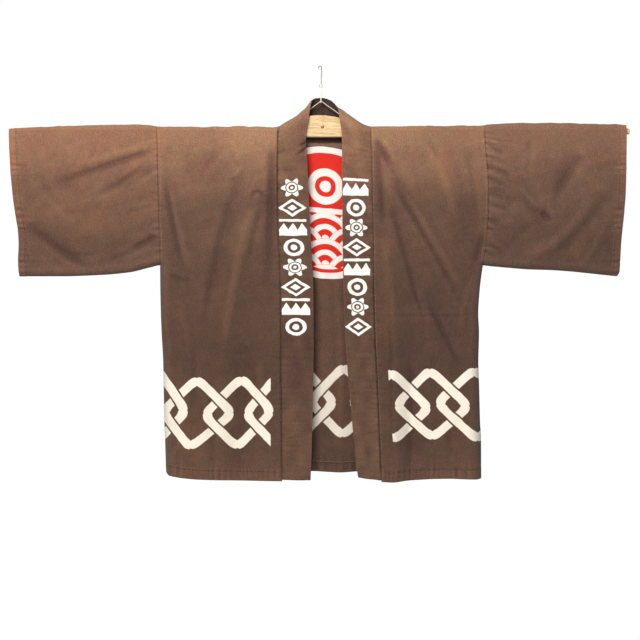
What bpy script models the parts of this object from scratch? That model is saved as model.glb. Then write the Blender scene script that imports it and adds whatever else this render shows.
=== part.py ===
"""A happi coat of brown cotton, hung flat on a wooden rod hanger with a cord and a wire hook.

Frame: metres, +Z up, the front of the coat faces -Y.  The origin is the point under the
wire hook's top curl where a nail or a peg bears.  Sizes below are in millimetres.

The cloth is built from one set of surface functions.  A point of the coat is given by how far
across it lies (x) and by its height (z), and the functions say how far in front of or behind
the rod's axis the front and back layers hang there.  Each sewn piece is a grid of such points,
made into a wall of cloth by moving the grid out and in along its normals.
"""
import math
from collections import namedtuple

import bpy
import bmesh
import numpy as np

MM = 0.001

# ---- driving sizes, in millimetres -----------------------------------------------------------
CLOTH_WALL = 1.8            # one layer of cotton with its turnings
COLLAR_WALL = 2.6           # the folded collar band
SEAM_GAP = 0.3              # clear gap between neighbouring pieces
ROD_RADIUS = 6.5
ROD_HEIGHT = -136.0         # the rod's axis below the hook's bearing point
ROD_ENDS = (-578.0, 647.0)
BACK_MIDDLE = 4.0           # the middle of the back; the coat hangs a little to one side
NECK_POINTS = (-88.3, 106.0)     # where the neckline crosses the top of the shoulder
UNDERARM = -415.0           # height of the point where sleeve, front and back meet
BACK_NECK = -136.5          # height of the neckline behind the neck
SHUT_RADIUS = 16.0          # how far from a side seam or a sleeve's lower edge the layers part

Side = namedtuple("Side", "name sign column")
LEFT = Side("left", -1.0, 1)
RIGHT = Side("right", 1.0, 2)

# ---- outline tables ------------------------------------------------------------------------------
# height, left side edge, right side edge
BODY_SIDES = (
    (-868, -312, 335), (-856, -315, 336), (-846, -320.5, 336), (-780, -323, 335.8),
    (-743, -324.5, 333.8), (-668, -326, 331.8), (-618, -327, 330.2), (-555, -330.3, 331.6),
    (-517, -331.8, 330), (-467, -333, 333), (-415, -333.5, 339.8), (-399, -334, 342.6),
    (-361, -335.5, 347.6), (-324, -337, 350.5), (-290, -337.5, 352), (-258, -338, 351.5),
    (-213, -338.5, 349.5), (-165, -340, 345), (-128, -341, 343.5),
)
# height, left cuff, right cuff
CUFFS = (
    (-438, -627.6, 620), (-430, -628.6, 624.5), (-405, -629.8, 626.3), (-374, -628.6, 628),
    (-345, -630.2, 630.5), (-305, -636.5, 634.8), (-260, -642.3, 638), (-205, -646.8, 639.5),
    (-150, -649.4, 640.2), (-110, -650, 639),
)
# place across, lower edge of the sleeves
SLEEVE_BOTTOM = (
    (-650, -438), (-543, -438), (-459, -435.3), (-397, -429.5), (-355, -419.5), (-333.5, -415),
    (338, -415), (355, -416.8), (396, -420.5), (437, -423.7), (479, -425), (520, -427.8),
    (561, -432), (603, -436.2), (620, -437.4), (650, -438),
)
# place across, top of the fold over the rod (middle of the cloth)
TOP_LINE = (
    (-650, -131), (-640, -130.4), (-626, -129.3), (-576, -126.8), (-476, -123.6), (-390, -122.1),
    (-351, -123.8), (-326, -126.9), (-200, -127.2), (-178, -125.8), (-165, -125.8), (-146, -127.2),
    (98, -127), (121, -125.8), (180, -125.8), (221, -124.6), (240, -125.6), (300, -124.6),
    (330, -125), (351, -122.3), (401, -119.4), (476, -119), (530, -119.8), (576, -121), (610, -121.3),
    (650, -124.5),
)
# place across, hem of the fronts, hem of the backs
HEM = (
    (-320, -851.5, -845), (-312, -855, -845.5), (-282, -859.5, -846), (-250, -862, -846),
    (-165, -865, -847), (-77, -866, -847), (-19, -865, -846.5), (21, -863, -848.5), (42, -862, -849.5),
    (79, -861.5, -847.5), (105, -863, -847), (130, -866.5, -847), (152, -868, -847.5),
    (177, -865.3, -848), (205, -863.5, -848), (241, -861.5, -848), (273, -860.7, -848),
    (326, -862, -846.5), (337, -860, -845.5),
)
# height, left collar seam, right collar seam
COLLAR_SEAMS = (
    (-866, -78.5, 128), (-840, -80, 126.5), (-780, -80.8, 124), (-664, -82, 119.5),
    (-572, -82.3, 114.8), (-467, -83, 112.3), (-388, -85.4, 111.5), (-340, -87.8, 110.5),
    (-280, -88.5, 109), (-210, -89, 108.3), (-136, -88.3, 106), (-110, -88, 105),
)

# ---- depth tables --------------------------------------------------------------------------------
# distance below the rod's axis, front layer forward, back layer backward
LAYERS = (
    (0, 9.0, 9.0), (40, 10.0, 9.6), (100, 12.0, 10.6), (281, 15.0, 12.0), (450, 17.0, 13.0),
    (730, 20.0, 14.0),
)
# place across, how much further the layers stand apart at the rod, beside the hanger's board
NECK_FULLNESS = (
    (-180, 0.0), (-110, 1.8), (-60, 3.2), (70, 3.2), (120, 1.8), (190, 0.0),
)
# place across, front hem forward, back hem backward
HEM_WAVES = (
    (-335, 0, 0), (-312, 2, 1), (-285, 13, 5), (-250, 17, 7), (-212, 7, 1), (-165, -7, -3),
    (-120, -2, 5), (-80, 3, 8), (-45, 5, 2), (30, 0, -4), (79, -8, 3), (129, 20, 7),
    (152, 17, 6), (190, -4, -2), (230, -2, -4), (270, 6, 4), (308, 13, 7), (338, 0, 0),
)

# A fold runs through three points and is a ridge where it is positive and a trough where it
# is negative, as seen from outside.
Fold = namedtuple("Fold", "layer x0 z0 x1 z1 x2 z2 height width")
FOLDS = (
    # left sleeve
    Fold("front", -344, -172, -416, -198, -560, -246, -5.0, 17),
    Fold("front", -340, -205, -400, -240, -470, -262, -4.0, 16),
    Fold("front", -345, -240, -430, -262, -575, -290, 4.0, 26),
    Fold("front", -612, -325, -560, -372, -478, -424, -6.5, 24),
    Fold("front", -600, -270, -500, -330, -400, -352, 4.5, 30),
    Fold("front", -340, -350, -362, -372, -400, -384, -4.0, 15),
    # left front
    Fold("front", -172, -225, -182, -300, -250, -545, -5.0, 19),
    Fold("front", -140, -280, -174, -420, -204, -640, 6.5, 24),
    Fold("front", -112, -160, -104, -280, -112, -470, -5.0, 19),
    Fold("front", -320, -220, -306, -340, -290, -470, -3.5, 18),
    Fold("front", -296, -640, -288, -740, -270, -850, 5.0, 28),
    Fold("front", -150, -560, -158, -700, -165, -850, -5.0, 30),
    # right front
    Fold("front", 128, -150, 150, -215, 214, -340, -5.5, 18),
    Fold("front", 148, -280, 176, -380, 205, -520, -4.0, 18),
    Fold("front", 134, -350, 140, -450, 150, -600, 6.0, 26),
    Fold("front", 220, -450, 262, -560, 300, -660, -4.5, 20),
    Fold("front", 230, -160, 268, -260, 300, -380, 4.0, 26),
    Fold("front", 334, -345, 326, -395, 318, -450, -4.0, 18),
    Fold("front", 190, -620, 192, -740, 190, -850, -6.0, 28),
    # right sleeve
    Fold("front", 412, -250, 452, -300, 484, -306, -5.0, 18),
    Fold("front", 484, -300, 520, -215, 552, -180, -4.5, 20),
    Fold("front", 585, -270, 520, -350, 400, -408, 6.0, 26),
    Fold("front", 604, -262, 540, -340, 490, -390, -5.0, 20),
    Fold("front", 350, -260, 380, -272, 412, -290, -3.5, 14),
    # back, left half and right half
    Fold("back", -90, -160, -150, -330, -270, -560, 5.0, 28),
    Fold("back", -60, -240, -80, -480, -70, -800, -4.5, 26),
    Fold("back", -250, -170, -290, -300, -318, -430, -4.0, 22),
    Fold("back", -210, -480, -216, -640, -235, -840, -5.0, 28),
    Fold("back", 100, -160, 170, -330, 280, -540, 4.5, 30),
    Fold("back", 60, -230, 92, -470, 84, -800, -4.5, 26),
    Fold("back", 262, -165, 300, -300, 322, -440, -4.0, 20),
    Fold("back", 215, -500, 226, -660, 215, -840, -5.5, 30),
    Fold("back", -350, -215, -440, -250, -570, -300, -4.5, 22),
    Fold("back", -600, -250, -540, -350, -420, -405, 5.0, 28),
    Fold("back", 356, -190, 440, -250, 590, -300, -4.5, 24),
    Fold("back", 590, -290, 510, -370, 390, -400, 4.5, 26),
)

# ---- collar tables -------------------------------------------------------------------------------
# The front stretches, from the hem up: height of the seam, then the free edge's place across,
# forward distance and height, for the left band and for the right band.
Band = namedtuple("Band", "seam_z left_x left_y left_z right_x right_y right_z")
COLLAR_FRONT = (
    Band(-863, -19.5, -21, -864, 78.7, -9, -859),
    Band(-790, -17, -22, -790, 72.3, -14, -790),
    Band(-697, -14.8, -22, -697, 63, -19, -697),
    Band(-572, -13.2, -21, -572, 53, -21, -572),
    Band(-470, -13.8, -20, -470, 49, -20, -470),
    Band(-384, -18, -19, -384, 47.4, -19, -384),
    Band(-300, -22.3, -18, -300, 46.5, -18, -300),
    Band(-235, -25.2, -17, -233, 46, -17, -232),
    Band(-200, -27, -16.5, -195, 45.8, -16.5, -193),
    Band(-176, -29.6, -16, -162, 45.5, -16, -160),
    Band(-158, -28, -16, -132, 44.4, -16, -134),
    Band(-146, -23.6, -15.5, -108, 41.8, -16, -114),
    Band(-136, -20.8, -14.5, -89, 39.8, -15, -98),
)
# Over the shoulder: angle round the rod, then the free edge's place, from front to back.
Turn = namedtuple("Turn", "angle left_x left_y left_z right_x right_y right_z")
COLLAR_TURN = (
    Turn(30, -19.2, -11.5, -81.5, 39.3, -12, -92.5),
    Turn(60, -17.6, -7.0, -76.2, 39.0, -7.5, -89),
    Turn(90, -16.2, -1.0, -72.2, 38.6, -1.5, -86.4),
    Turn(120, -14.2, 5.0, -69.4, 37.4, 4.5, -83.8),
    Turn(150, -12.2, 10.0, -67.2, 34.8, 9.5, -80.2),
    Turn(180, -9.4, 13.4, -65.8, 30.4, 13.0, -75.6),
)
# Behind the neck, from the left shoulder to the right: share of the seam, then the free edge.
Nape = namedtuple("Nape", "share x y z")
COLLAR_NAPE = (
    Nape(0.20, -4.6, 15.0, -65.0), Nape(0.40, 2.4, 15.6, -64.6), Nape(0.60, 10.2, 15.6, -65.4),
    Nape(0.80, 20.2, 14.8, -69.0),
)
COLLAR_SHARES = (0.0, 0.12, 0.5, 0.88, 1.0)     # steps from the seam to the free edge
COLLAR_CROWN = 1.2                              # how far the band's middle stands proud

# ---- grid tables ---------------------------------------------------------------------------------
EDGE_STEPS = (0.0, 0.012, 0.036, 0.075)         # shares of a width close to a closed edge
FRONT_CELLS = 10
BACK_NECK_CELLS = 4
ARM_ROWS = 12
SIDE_ROWS = 18
SLEEVE_CELLS = 13
TURN_ANGLES = (30, 60, 90, 120, 150)

# ---- hanger sizes --------------------------------------------------------------------------------
BOARD_TOP = -102.3
BOARD_BOTTOM = -148.0
BOARD_ARC = 150.0           # radius of its arched top
BOARD_SHOULDER = 50.0       # where the arch ends
BOARD_HALF_LENGTH = 62.0
BOARD_END_TOP = -125.0
BOARD_HALF_THICKNESS = 9.0
CORD_RADIUS = 1.1
CORD_HOLE_X = 48.0
CORD_HOLE_DEPTH = 9.0
CORD_APEX = (2.0, -73.0)
HOOK_WIRE = 0.8
EYE_CENTRE = (1.6, -40.6)
EYE_RADIUS = 3.2
SCREW_PLACE = (5.2, -126.3)
SCREW_RADIUS = 3.4

# colour, roughness, metallic
FINISHES = {
    "cotton": ((0.19, 0.10, 0.065, 1.0), 0.92, 0.0),
    "board_wood": ((0.83, 0.60, 0.33, 1.0), 0.55, 0.0),
    "rod_wood": ((0.62, 0.42, 0.24, 1.0), 0.6, 0.0),
    "cord": ((0.80, 0.74, 0.60, 1.0), 0.9, 0.0),
    "steel": ((0.22, 0.20, 0.18, 1.0), 0.35, 1.0),
}


# ---- reading the tables --------------------------------------------------------------------------
def read(rows, column, at):
    """A table's column at the places `at`, on a curve through its rows that never overshoots."""
    order = sorted(rows, key=lambda row: row[0])
    keys = np.array([row[0] for row in order], float)
    values = np.array([row[column] for row in order], float)
    steps = np.diff(values) / np.diff(keys)
    before, after = steps[:-1], steps[1:]
    together = before * after > 0
    inner = np.where(together, 2 * before * after / np.where(together, before + after, 1.0), 0.0)
    slopes = np.concatenate(([steps[0]], inner, [steps[-1]]))
    at = np.clip(np.asarray(at, float), keys[0], keys[-1])
    i = np.clip(np.searchsorted(keys, at, side="right") - 1, 0, len(keys) - 2)
    span = keys[i + 1] - keys[i]
    t = (at - keys[i]) / span
    return (
        values[i] * (1 + 2 * t) * (1 - t) ** 2 + slopes[i] * span * t * (1 - t) ** 2
        + values[i + 1] * t * t * (3 - 2 * t) + slopes[i + 1] * span * t * t * (t - 1)
    )


def ease(value, low, high):
    """0 below low, 1 above high and a smooth step between."""
    t = np.clip((np.asarray(value, float) - low) / (high - low), 0.0, 1.0)
    return t * t * (3 - 2 * t)


# ---- the coat's surface --------------------------------------------------------------------------
def fold_height(layer, x, z):
    """How far the folds of a layer lift it outwards at the places x, z."""
    total = np.zeros(np.broadcast(x, z).shape)
    for fold in FOLDS:
        if fold.layer != layer:
            continue
        nearest = np.full(total.shape, 1e9)
        along = np.zeros(total.shape)
        steps = 8
        for k in range(steps):
            t0, t1 = k / steps, (k + 1) / steps
            ax, az = fold_point(fold, t0)
            bx, bz = fold_point(fold, t1)
            length = (bx - ax) ** 2 + (bz - az) ** 2
            share = np.clip(((x - ax) * (bx - ax) + (z - az) * (bz - az)) / length, 0, 1)
            gap = np.hypot(x - ax - share * (bx - ax), z - az - share * (bz - az))
            closer = gap < nearest
            nearest = np.where(closer, gap, nearest)
            along = np.where(closer, t0 + share * (t1 - t0), along)
        taper = ease(along, -0.05, 0.3) * ease(1 - along, -0.05, 0.3)
        total += fold.height * taper * np.exp(-(nearest / fold.width) ** 2)
    return total


def fold_point(fold, t):
    """A place on the fold's curve, which passes through its middle point half way."""
    mx = 2 * fold.x1 - (fold.x0 + fold.x2) / 2
    mz = 2 * fold.z1 - (fold.z0 + fold.z2) / 2
    a, b, c = (1 - t) ** 2, 2 * t * (1 - t), t * t
    return a * fold.x0 + b * mx + c * fold.x2, a * fold.z0 + b * mz + c * fold.z2


def shut(distance):
    """How far open the layers are, 0 to 1, at a distance from a closed edge."""
    share = np.clip(np.asarray(distance, float) / SHUT_RADIUS, 0, 1)
    return np.sqrt(np.maximum(0.0, 1 - (1 - share) ** 2))


def body_opening(side, x, z):
    """How far open front and back are near the body's side seam."""
    across = side.sign * (read(BODY_SIDES, side.column, z) - x)
    return shut(np.hypot(np.maximum(across, 0), np.maximum(z - UNDERARM, 0)))


def layer_depth(layer, x, z):
    """Distance of a layer from the upright plane through the rod's axis."""
    drop = ROD_HEIGHT - z
    column = 1 if layer == "front" else 2
    base = read(LAYERS, column, drop)
    neck = read(NECK_FULLNESS, 1, x) * (1 - ease(drop, 30, 160))
    wave = read(HEM_WAVES, column, x) * ease(drop, 180, 760) ** 1.3
    folds = fold_height(layer, x, z) * ease(drop, 5, 60)
    return base + neck + wave + folds


def body_point(side, layer, x, z):
    sign = -1.0 if layer == "front" else 1.0
    y = sign * layer_depth(layer, x, z) * body_opening(side, x, z)
    return np.stack(np.broadcast_arrays(x, y, z), axis=-1)


def turn_point(x, angle):
    """A place on the fold over the rod: 0 degrees is its front, 90 its top, 180 its back."""
    turn = math.radians(angle)
    forward = layer_depth("front", x, ROD_HEIGHT)
    backward = layer_depth("back", x, ROD_HEIGHT)
    reach = np.where(math.cos(turn) >= 0, forward, backward)
    y = -reach * math.cos(turn)
    z = ROD_HEIGHT + (read(TOP_LINE, 1, x) - ROD_HEIGHT) * math.sin(turn)
    return np.stack(np.broadcast_arrays(x, y, z), axis=-1)


# ---- making walls of cloth -----------------------------------------------------------------------
class Sheet:
    """A sheet of cloth as a grid of points, some of them shared where the piece is closed."""

    def __init__(self):
        self.points = []
        self.faces = []
        self.flats = {}

    def add(self, point, *flat):
        """Keeps a point; its wall stands square to each direction in `flat`."""
        self.points.append(np.asarray(point, float))
        if flat:
            self.flats[len(self.points) - 1] = flat
        return len(self.points) - 1

    def fill(self, rows):
        """Quads between neighbouring rows of point numbers."""
        for low, high in zip(rows[:-1], rows[1:]):
            for i in range(min(len(low), len(high)) - 1):
                ring = [low[i], low[i + 1], high[i + 1], high[i]]
                corners = [n for k, n in enumerate(ring) if n != ring[k - 1]]
                if len(set(corners)) >= 3:
                    self.faces.append(corners)

    def wall(self, thickness):
        """Points and faces of the closed wall around the sheet."""
        points = np.array(self.points)
        normals = np.zeros_like(points)
        for face in self.faces:
            ring = points[face]
            centre = ring.mean(axis=0)
            area = sum(
                np.cross(ring[k] - centre, ring[(k + 1) % len(ring)] - centre)
                for k in range(len(ring))
            )
            normals[face] += area / np.linalg.norm(area)
        normals /= np.linalg.norm(normals, axis=1)[:, None]
        for number, flat in self.flats.items():
            normal = normals[number]
            for direction in flat:
                direction = np.asarray(direction, float) / np.linalg.norm(direction)
                normal = normal - direction * normal.dot(direction)
            normals[number] = normal / np.linalg.norm(normal)
        count = len(points)
        outer = points + normals * thickness / 2
        inner = points - normals * thickness / 2
        faces = [tuple(face) for face in self.faces]
        faces += [tuple(count + n for n in reversed(face)) for face in self.faces]
        edges = {}
        for face in self.faces:
            for k, a in enumerate(face):
                edges[(a, face[(k + 1) % len(face)])] = True
        for a, b in edges:
            if (b, a) not in edges:
                faces.append((b, a, count + a, count + b))
        return np.vstack((outer, inner)), faces


def finish_material(name):
    colour, roughness, metallic = FINISHES[name]
    material = bpy.data.materials.get(name) or bpy.data.materials.new(name)
    material.use_nodes = True
    shader = material.node_tree.nodes["Principled BSDF"]
    shader.inputs["Base Color"].default_value = colour
    shader.inputs["Roughness"].default_value = roughness
    shader.inputs["Metallic"].default_value = metallic
    material.diffuse_color = colour
    return material


def add_object(name, points, faces, finish):
    """A smooth-shaded object from points in millimetres."""
    mesh = bpy.data.meshes.new(name)
    mesh.from_pydata([tuple(float(c) * MM for c in point) for point in points], [], faces)
    mesh.materials.append(finish_material(finish))
    tidy = bmesh.new()
    tidy.from_mesh(mesh)
    bmesh.ops.recalc_face_normals(tidy, faces=tidy.faces)
    tidy.to_mesh(mesh)
    tidy.free()
    mesh.shade_smooth()
    mesh.set_sharp_from_angle(angle=math.radians(50))
    made = bpy.data.objects.new(name, mesh)
    bpy.context.collection.objects.link(made)
    return made


# ---- the sewn pieces -----------------------------------------------------------------------------
ACROSS = (1.0, 0.0, 0.0)
UPRIGHT = (0.0, 0.0, 1.0)


def panel_shares(cells):
    """Shares of a panel's width, close together beside the closed edge."""
    rest = [EDGE_STEPS[-1] + (1 - EDGE_STEPS[-1]) * (k + 1) / cells for k in range(cells)]
    return list(EDGE_STEPS) + rest


def row_height(row, hem):
    """Height of a numbered row of the body, for a stretch of cloth whose hem is at `hem`."""
    if row <= ARM_ROWS:
        return ROD_HEIGHT + (UNDERARM - ROD_HEIGHT) * row / ARM_ROWS
    return UNDERARM + (hem - UNDERARM) * (row - ARM_ROWS) / SIDE_ROWS


def body_place(side, layer, row, share, inner_edge):
    """x and height of a point on a numbered row, `share` of the way in from the side edge."""
    column = 1 if layer == "front" else 2
    height = row_height(row, float(read(HEM, column, 0.0)))
    for _ in range(2):
        outer = read(BODY_SIDES, side.column, height)
        x = outer + (inner_edge(height) - outer) * share
        height = row_height(row, float(read(HEM, column, x)))
    return float(x), float(height)


def add_body_half(sheet, side, centre_column):
    """Adds one half of the body: front, shoulder and back, with no seam between them.

    The two halves share the points down the middle of the back, and centre_column holds their
    numbers once the first half is made.
    """
    shares = panel_shares(FRONT_CELLS)
    last = len(shares) - 1
    seam_gap = side.sign * SEAM_GAP / 2
    neck = (NECK_POINTS[0] if side is LEFT else NECK_POINTS[1]) + seam_gap
    rows_count = ARM_ROWS + SIDE_ROWS + 1

    def front_edge(height):
        return read(COLLAR_SEAMS, side.column, height) + seam_gap

    def back_edge(_height):
        return neck

    def side_point(layer, x, z, row, share):
        """A point of a layer, set back from the armhole's seam where it lies on it."""
        point = body_point(side, layer, x, z)
        if share == 0.0 and row <= ARM_ROWS:
            point[0] -= seam_gap
            return point, [ACROSS]
        return point, []

    front_rows = []
    for row in range(rows_count):
        numbers = []
        for share in shares:
            x, z = body_place(side, "front", row, share, front_edge)
            point, flats = side_point("front", x, z, row, share)
            if share == 1.0:
                flats = [(1.0, 0.0, (front_edge(z - 5.0) - front_edge(z + 5.0)) / 10.0)]
            numbers.append(sheet.add(point, *flats))
        front_rows.append(numbers)

    turn_rows = []
    side_x = float(read(BODY_SIDES, side.column, ROD_HEIGHT)) - seam_gap
    for angle in TURN_ANGLES:
        numbers = []
        for share in shares:
            flats = [ACROSS] if share in (0.0, 1.0) else []
            numbers.append(sheet.add(turn_point(side_x + (neck - side_x) * share, angle), *flats))
        turn_rows.append(numbers)

    back_rows = []
    for row in range(rows_count):
        numbers = []
        for i, share in enumerate(shares):
            if share == 0.0 and row >= ARM_ROWS:
                numbers.append(front_rows[row][0])
                continue
            x, z = body_place(side, "back", row, share, back_edge)
            point, flats = side_point("back", x, z, row, share)
            if row == 0 and i == last:
                flats = [ACROSS, UPRIGHT]
            numbers.append(sheet.add(point, *flats))
        for k in range(1, BACK_NECK_CELLS + 1):
            share = k / BACK_NECK_CELLS
            if share == 1.0 and len(centre_column) == rows_count:
                numbers.append(centre_column[row])
                continue
            x = neck * (1 - share) + BACK_MIDDLE * share
            z = row_height(row, float(read(HEM, 2, x)))
            if row == 0:
                z = ROD_HEIGHT + (BACK_NECK - ROD_HEIGHT) * float(ease(share, 0, 0.6))
            flats = [UPRIGHT] if row == 0 else []
            numbers.append(sheet.add(body_point(side, "back", x, z), *flats))
        back_rows.append(numbers)
    if not centre_column:
        centre_column += [numbers[-1] for numbers in back_rows]

    over = list(reversed(front_rows)) + turn_rows + [back_rows[0][:last + 1]]
    for rows in (over, back_rows):
        sheet.fill([numbers[::int(-side.sign)] for numbers in rows])


def make_body():
    """The body: one wide length of cloth for the back and both fronts, cut open down the front."""
    sheet = Sheet()
    centre_column = []
    for side in (LEFT, RIGHT):
        add_body_half(sheet, side, centre_column)
    points, faces = sheet.wall(CLOTH_WALL)
    return add_object("body", points, faces, "cotton")


def make_sleeve(side):
    """A sleeve: one length of cloth folded over the rod and closed along its lower edge."""
    sheet = Sheet()
    seam_gap = side.sign * SEAM_GAP / 2
    cuff_low = float(read(CUFFS, side.column, -440.0))
    seam_low = float(read(BODY_SIDES, side.column, UNDERARM))
    arm_shares = [k / ARM_ROWS for k in range(ARM_ROWS)]
    edge_shares = [1 - step for step in reversed(EDGE_STEPS)]
    down = [share for share in arm_shares if share < edge_shares[0] - 0.02] + edge_shares

    def ring_place(share, depth):
        """x and height on the ring `share` of the way to the cuff, `depth` of the way down."""
        x_low = seam_low + (cuff_low - seam_low) * share
        bottom = float(read(SLEEVE_BOTTOM, 1, x_low))
        z = ROD_HEIGHT + (bottom - ROD_HEIGHT) * depth
        inner = float(read(BODY_SIDES, side.column, z)) + seam_gap
        x = inner + (float(read(CUFFS, side.column, z)) - inner) * share
        return x, z, bottom

    rings = []
    for column in range(SLEEVE_CELLS + 1):
        share = column / SLEEVE_CELLS
        flats = (ACROSS,) if column == 0 else ()
        numbers = []
        for layer, sign, depths in (("front", -1, down), ("back", 1, down[:-1])):
            part = []
            for depth in depths:
                x, z, bottom = ring_place(share, depth)
                y = sign * float(layer_depth(layer, x, z) * shut(z - bottom))
                part.append(sheet.add((x, y, z), *flats))
            if layer == "back":
                part.reverse()
            numbers += part
        x_turn = ring_place(share, 0.0)[0]
        for angle in reversed(TURN_ANGLES):
            numbers.append(sheet.add(turn_point(x_turn, angle), *flats))
        rings.append(numbers + numbers[:1])
    sheet.fill(rings)
    points, faces = sheet.wall(CLOTH_WALL)
    return add_object("sleeve_" + side.name, points, faces, "cotton")


def make_collar():
    """The collar band: up the left front, behind the neck and down the right front."""
    rulings = []

    def front_rulings(side):
        """Seam point and free-edge point of each row on one front, from the hem up."""
        found = []
        heights = [row.seam_z for row in COLLAR_FRONT]
        fine = []
        for low, high in zip(heights[:-1], heights[1:]):
            parts = max(1, round((high - low) / 26))
            fine += [low + (high - low) * k / parts for k in range(parts)]
        fine.append(heights[-1])
        offset = 1 if side is LEFT else 4
        for z in fine:
            seam_x = float(read(COLLAR_SEAMS, side.column, z))
            depth = float(layer_depth("front", seam_x, z))
            edge = [float(read(COLLAR_FRONT, offset + k, z)) for k in range(3)]
            slope = float(read(COLLAR_SEAMS, side.column, z - 5) - read(COLLAR_SEAMS, side.column, z + 5))
            seam = (seam_x - side.sign * SEAM_GAP / 2, -depth, z)
            found.append((seam, edge, ((1.0, 0.0, slope / 10.0),)))
        neck = NECK_POINTS[0] if side is LEFT else NECK_POINTS[1]
        for row in COLLAR_TURN:
            seam = turn_point(neck, row.angle) - np.array([side.sign * SEAM_GAP / 2, 0, 0])
            flats = [ACROSS]
            if row.angle == 180:
                seam[2] += SEAM_GAP
                flats.append(UPRIGHT)
            found.append((seam, row[offset:offset + 3], flats))
        return found

    left = front_rulings(LEFT)
    right = front_rulings(RIGHT)
    rulings += left
    for row in COLLAR_NAPE:
        x = NECK_POINTS[0] + (NECK_POINTS[1] - NECK_POINTS[0]) * row.share
        near = min(x - NECK_POINTS[0], NECK_POINTS[1] - x) / (NECK_POINTS[1] - BACK_MIDDLE)
        z = ROD_HEIGHT + (BACK_NECK - ROD_HEIGHT) * float(ease(near, 0, 0.6)) + SEAM_GAP
        y = float(layer_depth("back", x, z))
        rulings.append(((x, y, z), (row.x, row.y, row.z), (UPRIGHT,)))
    rulings += list(reversed(right))

    sheet = Sheet()
    rows = []
    for seam, edge, flats in rulings:
        numbers = []
        for share in COLLAR_SHARES:
            point = np.asarray(seam, float) * (1 - share) + np.asarray(edge, float) * share
            numbers.append(sheet.add(point, *(flats if share == 0.0 else ())))
        rows.append(numbers)
    sheet.fill(rows)
    crown_sheet(sheet, rows)
    points, faces = sheet.wall(COLLAR_WALL)
    return add_object("collar", points, faces, "cotton")


def crown_sheet(sheet, rows):
    """Lifts the middle of the collar band outwards, away from the wearer."""
    middle = len(COLLAR_SHARES) // 2
    for numbers in rows:
        a, b = sheet.points[numbers[0]], sheet.points[numbers[-1]]
        centre = (a + b) / 2
        outward = np.array([0.0, -1.0 if centre[1] < 0 else 1.0, 0.0])
        turned = min(1.0, abs(centre[1]) / 8.0)
        sheet.points[numbers[middle]] = sheet.points[numbers[middle]] + outward * COLLAR_CROWN * turned


# ---- the hanger ----------------------------------------------------------------------------------
def cylinder(name, start, end, radius, sides, finish):
    """A round bar between two points, as an object."""
    a, b = np.array(start, float), np.array(end, float)
    axis = (b - a) / np.linalg.norm(b - a)
    helper = np.array([0.0, 0.0, 1.0]) if abs(axis[2]) < 0.9 else np.array([1.0, 0.0, 0.0])
    u = np.cross(axis, helper)
    u /= np.linalg.norm(u)
    v = np.cross(axis, u)
    points = []
    for centre in (a, b):
        for k in range(sides):
            turn = 2 * math.pi * k / sides
            points.append(centre + radius * (math.cos(turn) * u + math.sin(turn) * v))
    faces = [tuple(range(sides)), tuple(reversed(range(sides, 2 * sides)))]
    faces += [(k, (k + 1) % sides, sides + (k + 1) % sides, sides + k) for k in range(sides)]
    return add_object(name, points, faces, finish)


def cut(target, cutter):
    cutter.hide_render = True
    cutter.display_type = "WIRE"
    difference = target.modifiers.new("hole", "BOOLEAN")
    difference.operation = "DIFFERENCE"
    difference.object = cutter


def board_top(x):
    return BOARD_TOP - (BOARD_ARC - math.sqrt(BOARD_ARC ** 2 - x * x))


def make_board():
    """The hanger's board: an arched slab, bored lengthwise for the rod and twice for the cord."""
    outline = [(BOARD_HALF_LENGTH, BOARD_BOTTOM), (BOARD_HALF_LENGTH, BOARD_END_TOP)]
    shoulder = board_top(BOARD_SHOULDER)
    for k in range(1, 5):
        turn = math.radians(90 * k / 4)
        x = BOARD_SHOULDER + (BOARD_HALF_LENGTH - BOARD_SHOULDER) * math.cos(turn)
        z = BOARD_END_TOP + (shoulder - BOARD_END_TOP) * math.sin(turn)
        outline.append((x, z))
    arc_steps = 10
    for k in range(1, arc_steps):
        x = BOARD_SHOULDER * (1 - 2 * k / arc_steps)
        outline.append((x, board_top(x)))
    for x, z in reversed(outline[:6]):
        outline.append((-x, z))
    count = len(outline)
    points = [(x, y, z) for y in (-BOARD_HALF_THICKNESS, BOARD_HALF_THICKNESS) for x, z in outline]
    faces = [tuple(range(count)), tuple(reversed(range(count, 2 * count)))]
    faces += [(k, count + k, count + (k + 1) % count, (k + 1) % count) for k in range(count)]
    board = add_object("hanger_board", points, faces, "board_wood")
    reach = BOARD_HALF_LENGTH + 5
    bore = cylinder("rod_bore", (-reach, 0, ROD_HEIGHT), (reach, 0, ROD_HEIGHT),
                    ROD_RADIUS + SEAM_GAP, 16, "board_wood")
    cut(board, bore)
    for x in (-CORD_HOLE_X, CORD_HOLE_X):
        low = board_top(x) - CORD_HOLE_DEPTH
        hole = cylinder("cord_hole_%d" % (x > 0), (x, 0, low), (x, 0, BOARD_TOP + 5),
                        CORD_RADIUS + 0.5, 10, "board_wood")
        cut(board, hole)
    return board


def make_wire(name, route, radius, resolution, finish, closed=False):
    """A round cord or wire that follows points in millimetres."""
    curve = bpy.data.curves.new(name, "CURVE")
    curve.dimensions = "3D"
    curve.bevel_depth = radius * MM
    curve.bevel_resolution = resolution
    curve.use_fill_caps = True
    spline = curve.splines.new("POLY")
    spline.points.add(len(route) - 1)
    for point, place in zip(spline.points, route):
        point.co = (place[0] * MM, place[1] * MM, place[2] * MM, 1.0)
    spline.use_cyclic_u = closed
    curve.materials.append(finish_material(finish))
    made = bpy.data.objects.new(name, curve)
    bpy.context.collection.objects.link(made)
    return made


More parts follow.
